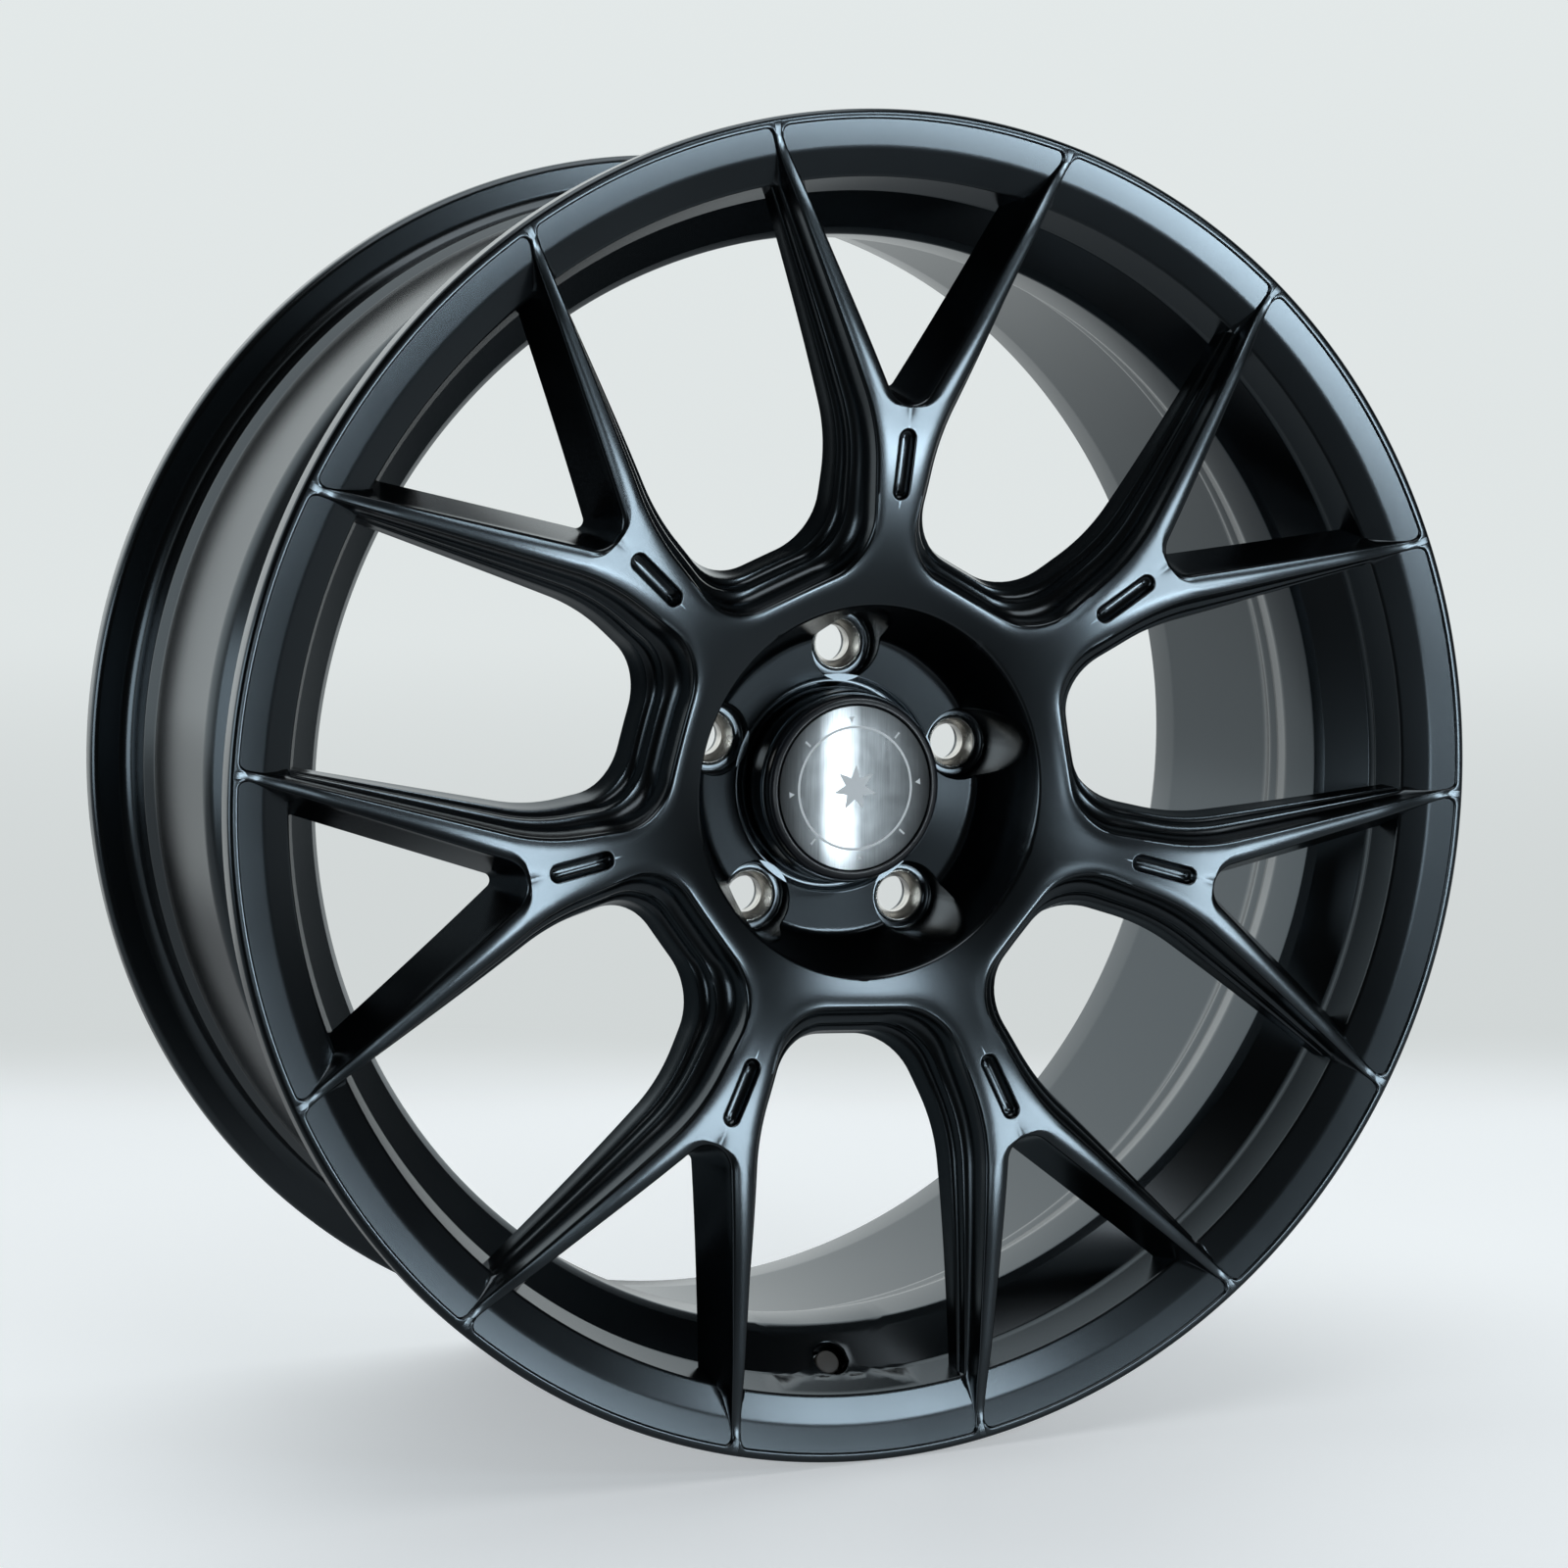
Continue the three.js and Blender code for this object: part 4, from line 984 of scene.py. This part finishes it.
def turned_at(profile, across, up, count):
    """A closed (radius, depth) profile carried round an axis that runs through the wheel."""
    turn = full_turn(count)
    radius, depth = profile[:, :1], profile[:, 1:]
    return to_row(across + radius * np.sin(turn), depth + 0 * turn, up + radius * np.cos(turn))


SEAT_STEEL = bare_metal(
    "turned_seat_steel", (0.42, 0.40, 0.37), (0.80, 0.78, 0.74), 0.24, (0.05, 1, 0.05), 2600)
seat_section = rounded([
    (SEAT_RIM_RADIUS, LUG_SEAT_DEPTH, 0.5, 4),
    (SEAT_RIM_RADIUS, LUG_SEAT_END, 0.4, 3),
    (SEAT_BORE, LUG_SEAT_END, 0.5, 3),
    (SEAT_BORE, SEAT_CONE_END, 0.8, 4),
    (SEAT_CONE_RADIUS, LUG_SEAT_DEPTH, 0.35, 4),
], closed=True)
for lug in range(LUG_COUNT):
    lug_angle = lug * 2 * math.pi / LUG_COUNT
    seat_across, seat_up = polar(LUG_CIRCLE_RADIUS, lug_angle)
    seat = turned_at(seat_section, seat_across, seat_up, 64)
    make_piece(f"seat_ring_{lug + 1}", [(seat, (True, True))], SEAT_STEEL, "wheel",
               [f"lug_seat_{lug + 1}"], 40)

# ------------------------------------------------------------------ centre cap
# A moulded black cap that snaps into the bore with six legs, spread by a wire ring. A thin brushed
# aluminium badge is stuck into its recess with foam tape.
CAP_FRONT = 35.7
CAP_RADIUS = 36.9
BADGE_RADIUS = 32.7
BADGE_FRONT = 35.9
BADGE_BACK = 36.7
RECESS_FLOOR = 38.2
CAP_BACK = 40.4
SKIRT_RADIUS = 32.95
SKIRT_INSIDE = 30.95
SKIRT_END = 58.0
CAP_FLANGE_BACK = 41.0
LEG_COUNT = 6
LEG_GAP = 7.0
LEG_ROOT = 45.0
cap_section = rounded([
    (0, RECESS_FLOOR, 0, 1),
    (BADGE_RADIUS + 0.35, RECESS_FLOOR, 0.3, 3),
    (BADGE_RADIUS + 0.35, CAP_FRONT, 0.35, 4),
    (BADGE_RADIUS + 1.1, CAP_FRONT - 0.15, 0.6, 4),
    (CAP_RADIUS, CAP_FRONT + 0.3, 2.2, 12),
    (CAP_RADIUS, CAP_FLANGE_BACK, 0.4, 4),
    (SKIRT_RADIUS, CAP_FLANGE_BACK, 0.3, 3),
    (SKIRT_RADIUS, LEG_ROOT, 0.3, 3),
    (SKIRT_INSIDE, LEG_ROOT, 0.3, 3),
    (SKIRT_INSIDE, CAP_BACK, 0.8, 4),
    (0, CAP_BACK, 0, 1),
])
CAP_PLASTIC = satin_paint("cap_satin_black", (0.009, 0.010, 0.013), 0.24, 3800, 0.000008, 0.1)
cap_patches = [(turned(cap_section, full_turn(128)), (False, True))]
half_leg = math.pi / LEG_COUNT - math.asin(LEG_GAP / 2 / SKIRT_RADIUS)
leg_section = np.array([
    [SKIRT_RADIUS, LEG_ROOT - 0.6], [SKIRT_RADIUS, SKIRT_END - 2.2], [SKIRT_RADIUS + 0.25, SKIRT_END - 1.4],
    [SKIRT_RADIUS - 0.7, SKIRT_END], [SKIRT_INSIDE, SKIRT_END], [SKIRT_INSIDE, LEG_ROOT - 0.6]])
leg_middle = leg_section.mean(0)
for leg in range(LEG_COUNT):
    leg_angles = (leg + 0.5) * 2 * math.pi / LEG_COUNT + np.linspace(-half_leg, half_leg, 13)
    leg_rows = turned(leg_section, leg_angles)
    ends = [turned(leg_middle[None], leg_angles[[end]]) for end in (0, -1)]
    near_end, far_end = [np.broadcast_to(end, leg_rows[:, :1].shape) for end in ends]
    cap_patches.append((np.concatenate([near_end, leg_rows, far_end], 1), (True, False)))
make_piece("cap_shell", cap_patches, CAP_PLASTIC, "centre_cap", ["centre_cap_shell"], 40)

# The badge's painted reflection: places across it from left to right, each with its painted brightness.
PAINTED_REFLECTION_STOPS = (
    (0.0, 0.03), (0.12, 0.07), (0.26, 0.17), (0.345, 0.80), (0.40, 1.0), (0.455, 0.72),
    (0.54, 0.20), (0.70, 0.11), (0.86, 0.06), (1.0, 0.02))
PAINTED_REFLECTION_TINT = (0.52, 0.54, 0.55)


def badge_with_painted_reflection():
    """Vertically brushed aluminium with a painted reflection: a bright streak is painted into its colour
    left of the middle, where the brushing catches the light, over a painted grey that darkens outwards."""
    material = bare_metal(
        "badge_with_painted_reflection", (0.05, 0.055, 0.06), (0.06, 0.065, 0.07), 0.3, (1, 1, 0.02), 3000)
    tree = material.node_tree
    place = wired(tree, "TexCoord", {})
    axes = wired(tree, "SeparateXYZ", {0: place.outputs["Object"]})
    across = wired(tree, "MapRange", {
        "Value": axes.outputs["X"], "From Min": -0.033, "From Max": 0.033})
    # Painted reflection: this ramp paints a bright streak left of the middle and darker sides into the base
    # colour.
    painted_reflection = wired(tree, "ValToRGB", {"Fac": across.outputs["Result"]})
    ramp = painted_reflection.color_ramp
    while len(ramp.elements) < len(PAINTED_REFLECTION_STOPS):
        ramp.elements.new(0.5)
    for element, (place_on_ramp, tone) in zip(ramp.elements, PAINTED_REFLECTION_STOPS):
        element.position = place_on_ramp
        element.color = (*[tone * part for part in PAINTED_REFLECTION_TINT], 1)
    streaks = next(node for node in tree.nodes if node.type == "GROUP")
    brush = wired(tree, "MapRange", {
        "Value": streaks.outputs["Streaks"], "From Min": 0.3, "From Max": 0.7,
        "To Min": 0.78, "To Max": 1.12})
    streaked_painted_reflection = wired(tree, "VectorMath", {0: painted_reflection.outputs["Color"], 1: brush.outputs["Result"]},
                  operation="MULTIPLY")
    connect(tree, tree.nodes["Principled BSDF"], {"Base Color": streaked_painted_reflection.outputs[0]})
    return material


badge_section = rounded([
    (0, BADGE_FRONT, 0, 1),
    (BADGE_RADIUS * 0.6, BADGE_FRONT, 0, 1),
    (BADGE_RADIUS, BADGE_FRONT, 0.35, 5),
    (BADGE_RADIUS, BADGE_BACK, 0.2, 3),
    (0, BADGE_BACK, 0, 1),
])
make_piece("badge_plate", [(turned(badge_section, full_turn(128)), (False, True))], badge_with_painted_reflection(),
           "centre_cap", ["centre_cap_badge"], 40)

# ------------------------------------------------------------------ badge print
# White ink on the badge: a thin circle, four ticks and four small arrowheads round it, and a plain
# seven-pointed star in the middle. The print stands a few hundredths of a millimetre proud.
PRINT_TOP = BADGE_FRONT - 0.05
PRINT_BOTTOM = BADGE_FRONT + 0.05
CIRCLE_RADIUS = 24.2
CIRCLE_LINE = 0.95
MARK_RADIUS = 27.2
MARK_TURN = math.radians(-6.3)
TICK_SIZE = (0.8, 2.9)
ARROW_SIZE = (2.4, 2.2)
STAR_POINTS = 7
STAR_RADII = (9.2, 4.4)


def printed(outline, middle):
    """A thin closed plate: rows from its middle on top, out over its outline and back underneath."""
    centre = np.broadcast_to(middle, outline.shape)
    rows = np.stack([centre, outline, outline, centre])
    depths = np.array([[PRINT_TOP], [PRINT_TOP], [PRINT_BOTTOM], [PRINT_BOTTOM]])
    return to_row(rows[..., 0], depths + 0 * rows[..., 0], rows[..., 1])


circle = np.array([
    [CIRCLE_RADIUS - CIRCLE_LINE / 2, PRINT_TOP], [CIRCLE_RADIUS + CIRCLE_LINE / 2, PRINT_TOP],
    [CIRCLE_RADIUS + CIRCLE_LINE / 2, PRINT_BOTTOM], [CIRCLE_RADIUS - CIRCLE_LINE / 2, PRINT_BOTTOM]])
print_patches = [(turned(circle, full_turn(160)), (True, True))]
tick_side, tick_end = TICK_SIZE[0] / 2, TICK_SIZE[1] / 2
tick = np.array([
    [-tick_side, -tick_end], [tick_side, -tick_end], [tick_side, tick_end], [-tick_side, tick_end]])
arrow_side, arrow_end = ARROW_SIZE[0] / 2, ARROW_SIZE[1] / 2
arrow = np.array([[0, -arrow_end], [arrow_side, arrow_end], [-arrow_side, arrow_end]])
for mark in range(8):
    angle = mark * math.pi / 4 + MARK_TURN
    shape = (arrow if mark % 2 == 0 else tick) + (0, MARK_RADIUS)
    print_patches.append((printed(turned_by(shape, angle), polar(MARK_RADIUS, angle)), (False, True)))
star_angles = np.arange(2 * STAR_POINTS) * math.pi / STAR_POINTS
star_radii = np.where(np.arange(2 * STAR_POINTS) % 2 == 0, *STAR_RADII)
star = polar(star_radii, star_angles)
print_patches.append((printed(star, np.zeros(2)), (False, True)))
WHITE_INK = satin_paint("white_ink", (0.80, 0.81, 0.82), 0.45, 5200, 0.000006, 0.12)
make_piece("badge_print", print_patches, WHITE_INK, "centre_cap", ["centre_cap_badge"], 20)

# ------------------------------------------------------------------ cap fixings
# The foam tape under the badge, and the sprung steel wire ring inside the cap's legs.
RING_RADIUS = 29.75
WIRE_RADIUS = 0.9
RING_DEPTH = 54.0
wire_turn = full_turn(12)
ring_section = np.stack([
    RING_RADIUS + WIRE_RADIUS * np.cos(wire_turn), RING_DEPTH + WIRE_RADIUS * np.sin(wire_turn)], -1)
SPRING_WIRE = bare_metal("drawn_spring_wire", (0.30, 0.30, 0.31), (0.55, 0.55, 0.56), 0.32, (1, 1, 1), 900)
make_piece("wire_ring", [(turned(ring_section, full_turn(120)), (True, True))], SPRING_WIRE,
           "centre_cap", ["centre_cap_spring_ring"], 60)
FOAM_TAPE = satin_paint("foam_tape", (0.70, 0.68, 0.62), 0.9, 900, 0.0002, 0.08)
nodes["centre_cap_adhesive_pad"].data.materials[0] = FOAM_TAPE

# ------------------------------------------------------------------ valve
# A clamp-in tyre valve in the sloped band: a nickel-plated brass stem on a rubber grommet, held by a
# washer and nut, with a brass core inside it and a moulded plastic cap screwed on top.
VALVE_CAP_TOP = -3.8
VALVE_CAP_MOUTH = -11.3
VALVE_CAP_ROOF = 1.1
VALVE_CAP_RADIUS = 5.0
VALVE_CAP_HOLE = 4.4
VALVE_CAP_CHAMFER = 0.5


def turned_on_valve(profile, count):
    """A (radius, height) profile carried round the valve's own axis."""
    turn = full_turn(count)
    around = np.stack([np.cos(turn), np.sin(turn)], -1)
    heights = np.broadcast_to(profile[:, 1:], (len(profile), count))
    return along_valve(profile[:, :1, None] * around, heights)


VALVE_PLASTIC = satin_paint("valve_cap_plastic", (0.085, 0.078, 0.072), 0.42, 3200, 0.00003, 0.12)
valve_cap_section = rounded([
    (0, VALVE_CAP_TOP, 0, 1),
    (VALVE_CAP_RADIUS - VALVE_CAP_CHAMFER, VALVE_CAP_TOP, 0.2, 3),
    (VALVE_CAP_RADIUS, VALVE_CAP_TOP - VALVE_CAP_CHAMFER, 0.2, 3),
    (VALVE_CAP_RADIUS, VALVE_CAP_MOUTH, 0.15, 3),
    (VALVE_CAP_HOLE, VALVE_CAP_MOUTH, 0.15, 3),
    (VALVE_CAP_HOLE, VALVE_CAP_TOP - VALVE_CAP_ROOF, 0.3, 3),
    (0, VALVE_CAP_TOP - VALVE_CAP_ROOF, 0, 1),
])
make_piece("valve_cap_shell", [(turned_on_valve(valve_cap_section, 64), (False, True))], VALVE_PLASTIC,
           "valve_cap", ["valve_cap"], 35)

NICKEL = bare_metal("nickel_plated_brass", (0.40, 0.39, 0.36), (0.62, 0.60, 0.56), 0.26, (1, 1, 1), 1400)
ZINC = bare_metal("zinc_plated_steel", (0.36, 0.37, 0.39), (0.58, 0.59, 0.61), 0.36, (1, 1, 1), 800)
BRASS = bare_metal("turned_brass", (0.50, 0.36, 0.16), (0.72, 0.54, 0.26), 0.3, (1, 1, 1), 1600)
VALVE_RUBBER = satin_paint("valve_rubber", (0.014, 0.014, 0.015), 0.62, 1100, 0.00006, 0.2)
FINISHES = {
    "valve_stem": NICKEL, "valve_nut": NICKEL, "valve_washer": ZINC, "valve_core_body": BRASS,
    "valve_core_pin": BRASS, "valve_core_spring": SPRING_WIRE, "valve_grommet": VALVE_RUBBER,
    "valve_cap_seal": VALVE_RUBBER,
}
for node_name, finish in FINISHES.items():
    nodes[node_name].data.materials[0] = finish

# ------------------------------------------------------------------ stage
# The camera in front of the wheel to its left, a pale floor that turns into an even backdrop behind it,
# six softboxes and a world that is dim in front and bright behind. Distances here are in metres.
camera_data = bpy.data.cameras.new("camera")
camera_data.lens = 79.4
camera_data.sensor_width = 36
camera = bpy.data.objects.new("camera", camera_data)
camera.location = (-0.5634, -1.3181, 0.1348)
aim = Vector((-0.0461, -0.1200, 0.0067)) - camera.location
camera.rotation_euler = aim.to_track_quat("-Z", "Y").to_euler()
bpy.context.scene.collection.objects.link(camera)
bpy.context.scene.camera = camera

# HORIZON and FLAG are distances behind the wheel's middle between which the floor changes.
BACKDROP = (0.80, 0.845, 0.845)
FAR_BRIGHTNESS = 0.93
NEAR_BRIGHTNESS = 0.80
FLOOR_COLOUR = (0.68, 0.695, 0.71)
FLOOR_GLOW = 0.40
FLOOR_RADII = np.array([0.0, 0.6, 1.2, 12.0])
FLOOR_DROP = 0.0002
HORIZON = (0.60, 0.94)
FLAG = (-0.50, -0.12)
FLAG_SHARES = (0.03, 0.30)
VIEW_AZIMUTH = math.radians(-23.4)
BACKWARDS = (-math.sin(VIEW_AZIMUTH), math.cos(VIEW_AZIMUTH), 0)
COOL = (0.82, 0.93, 1)


def eased(tree, value, start_end, low_high=(0, 1)):
    """A value's smooth rise from the first of low_high to the second between start and end."""
    return wired(tree, "MapRange", {
        "Value": value, "From Min": start_end[0], "From Max": start_end[1],
        "To Min": low_high[0], "To Max": low_high[1]}, interpolation_type="SMOOTHSTEP").outputs["Result"]


def plain_floor():
    """A flat disc at the height of the lowest flange point, pale and a little uneven. Across a soft line
    behind the wheel, square to the view, it turns into an evenly glowing backdrop. Well in front of the
    wheel it is shaded from everything but the camera, as by a flag."""
    low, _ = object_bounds()
    turns = full_turn(96)
    level = np.full((len(FLOOR_RADII), len(turns)), low.z - FLOOR_DROP)
    radii = FLOOR_RADII[:, None]
    spots = np.stack([radii * np.cos(turns), radii * np.sin(turns), level], -1)
    quads = grid_quads(len(FLOOR_RADII), len(turns), 0, False, True)
    mesh = bpy.data.meshes.new("floor")
    mesh.from_pydata(spots.reshape(-1, 3).tolist(), [], quads.tolist())
    floor = bpy.data.objects.new("floor", mesh)
    bpy.context.scene.collection.objects.link(floor)
    material, tree, shader = new_material("pale_floor")
    place = wired(tree, "TexCoord", {}).outputs["Object"]
    behind = wired(tree, "VectorMath", {0: place, 1: BACKWARDS}, operation="DOT_PRODUCT").outputs["Value"]
    mottle = wired(tree, "TexNoise", {"Vector": place, "Scale": 3})
    wavered = wired(tree, "Math", {0: mottle.outputs["Fac"], 1: 0.12, 2: behind}, operation="MULTIPLY_ADD")
    rays = wired(tree, "LightPath", {})
    shade = wired(tree, "Math", {
        0: rays.outputs["Is Camera Ray"], 1: eased(tree, behind, FLAG, FLAG_SHARES)}, operation="MAXIMUM")
    pale = wired(tree, "Mix", {
        "A": (0, 0, 0, 1), "B": (*FLOOR_COLOUR, 1), "Factor": shade.outputs[0]}, data_type="RGBA")
    lift = wired(tree, "Math", {0: shade.outputs[0], 1: FLOOR_GLOW}, operation="MULTIPLY")
    connect(tree, shader, {
        "Base Color": pale.outputs["Result"], "Roughness": 0.55, "Specular IOR Level": 0.25,
        "Emission Color": (0.93, 0.97, 1.0, 1), "Emission Strength": lift.outputs[0]})
    tone = eased(tree, behind, (0.9, 6.0), (NEAR_BRIGHTNESS, FAR_BRIGHTNESS))
    glow = wired(tree, "Emission", {"Color": (*BACKDROP, 1), "Strength": tone})
    blend = wired(tree, "MixShader", {
        0: eased(tree, wavered.outputs[0], HORIZON), 1: shader.outputs[0], 2: glow.outputs[0]})
    connect(tree, tree.nodes["Material Output"], {"Surface": blend.outputs[0]})
    mesh.materials.append(material)


def soft_light(name, azimuth, elevation, distance, width, height, radiance, colour=COOL, shines=None):
    """An oblong softbox at an azimuth and elevation seen from the wheel's front. It faces the wheel, or
    shines along the direction given, and can't be seen itself."""
    lamp = bpy.data.lights.new(name, "AREA")
    lamp.shape = "RECTANGLE"
    lamp.size, lamp.size_y = width, height
    lamp.energy = radiance * math.pi * width * height
    lamp.color = colour
    holder = bpy.data.objects.new(name, lamp)
    around, above = math.radians(azimuth), math.radians(elevation)
    place = Vector((
        math.sin(around) * math.cos(above), -math.cos(around) * math.cos(above), math.sin(above)))
    holder.location = place * distance
    holder.rotation_euler = Vector(shines or -place).to_track_quat("-Z", "Y").to_euler()
    holder.visible_camera = False
    bpy.context.scene.collection.objects.link(holder)


def studio_world():
    """Dim in front of the wheel and bright behind it, with an even pale backdrop for the camera."""
    world = bpy.data.worlds.new("studio")
    world.use_nodes = True
    tree = world.node_tree
    direction = wired(tree, "TexCoord", {})
    axes = wired(tree, "SeparateXYZ", {0: direction.outputs["Generated"]})
    above = wired(tree, "MapRange", {
        "Value": axes.outputs["Z"], "From Max": 0.3, "To Min": FAR_BRIGHTNESS, "To Max": 1.0})
    rays = wired(tree, "LightPath", {})
    seen = wired(tree, "Mix", {
        "A": eased(tree, axes.outputs["Y"], (-0.15, 0.55), (0.02, 1.25)), "B": above.outputs["Result"],
        "Factor": rays.outputs["Is Camera Ray"]})
    connect(tree, tree.nodes["Background"], {"Color": (*BACKDROP, 1), "Strength": seen.outputs["Result"]})
    return world


plain_floor()
soft_light("key", 26, -1.5, 1.95, 0.58, 0.34, 10)
soft_light("high_front", 27, 22.5, 1.95, 0.6, 0.18, 12)
soft_light("floor_bounce", 22, -10, 1.50, 0.46, 0.46, 22, shines=(0, 0, 1))
soft_light("beside_camera", 0, -5, 1.9, 0.16, 0.3, 6)
soft_light("left_fill", -75, 4, 1.9, 0.9, 0.8, 2.6)
soft_light("overhead", 0, 80, 1.9, 1.3, 1.6, 1.6, (1, 1, 1))
bpy.context.scene.world = studio_world()
bpy.context.scene.view_settings.view_transform = "Standard"
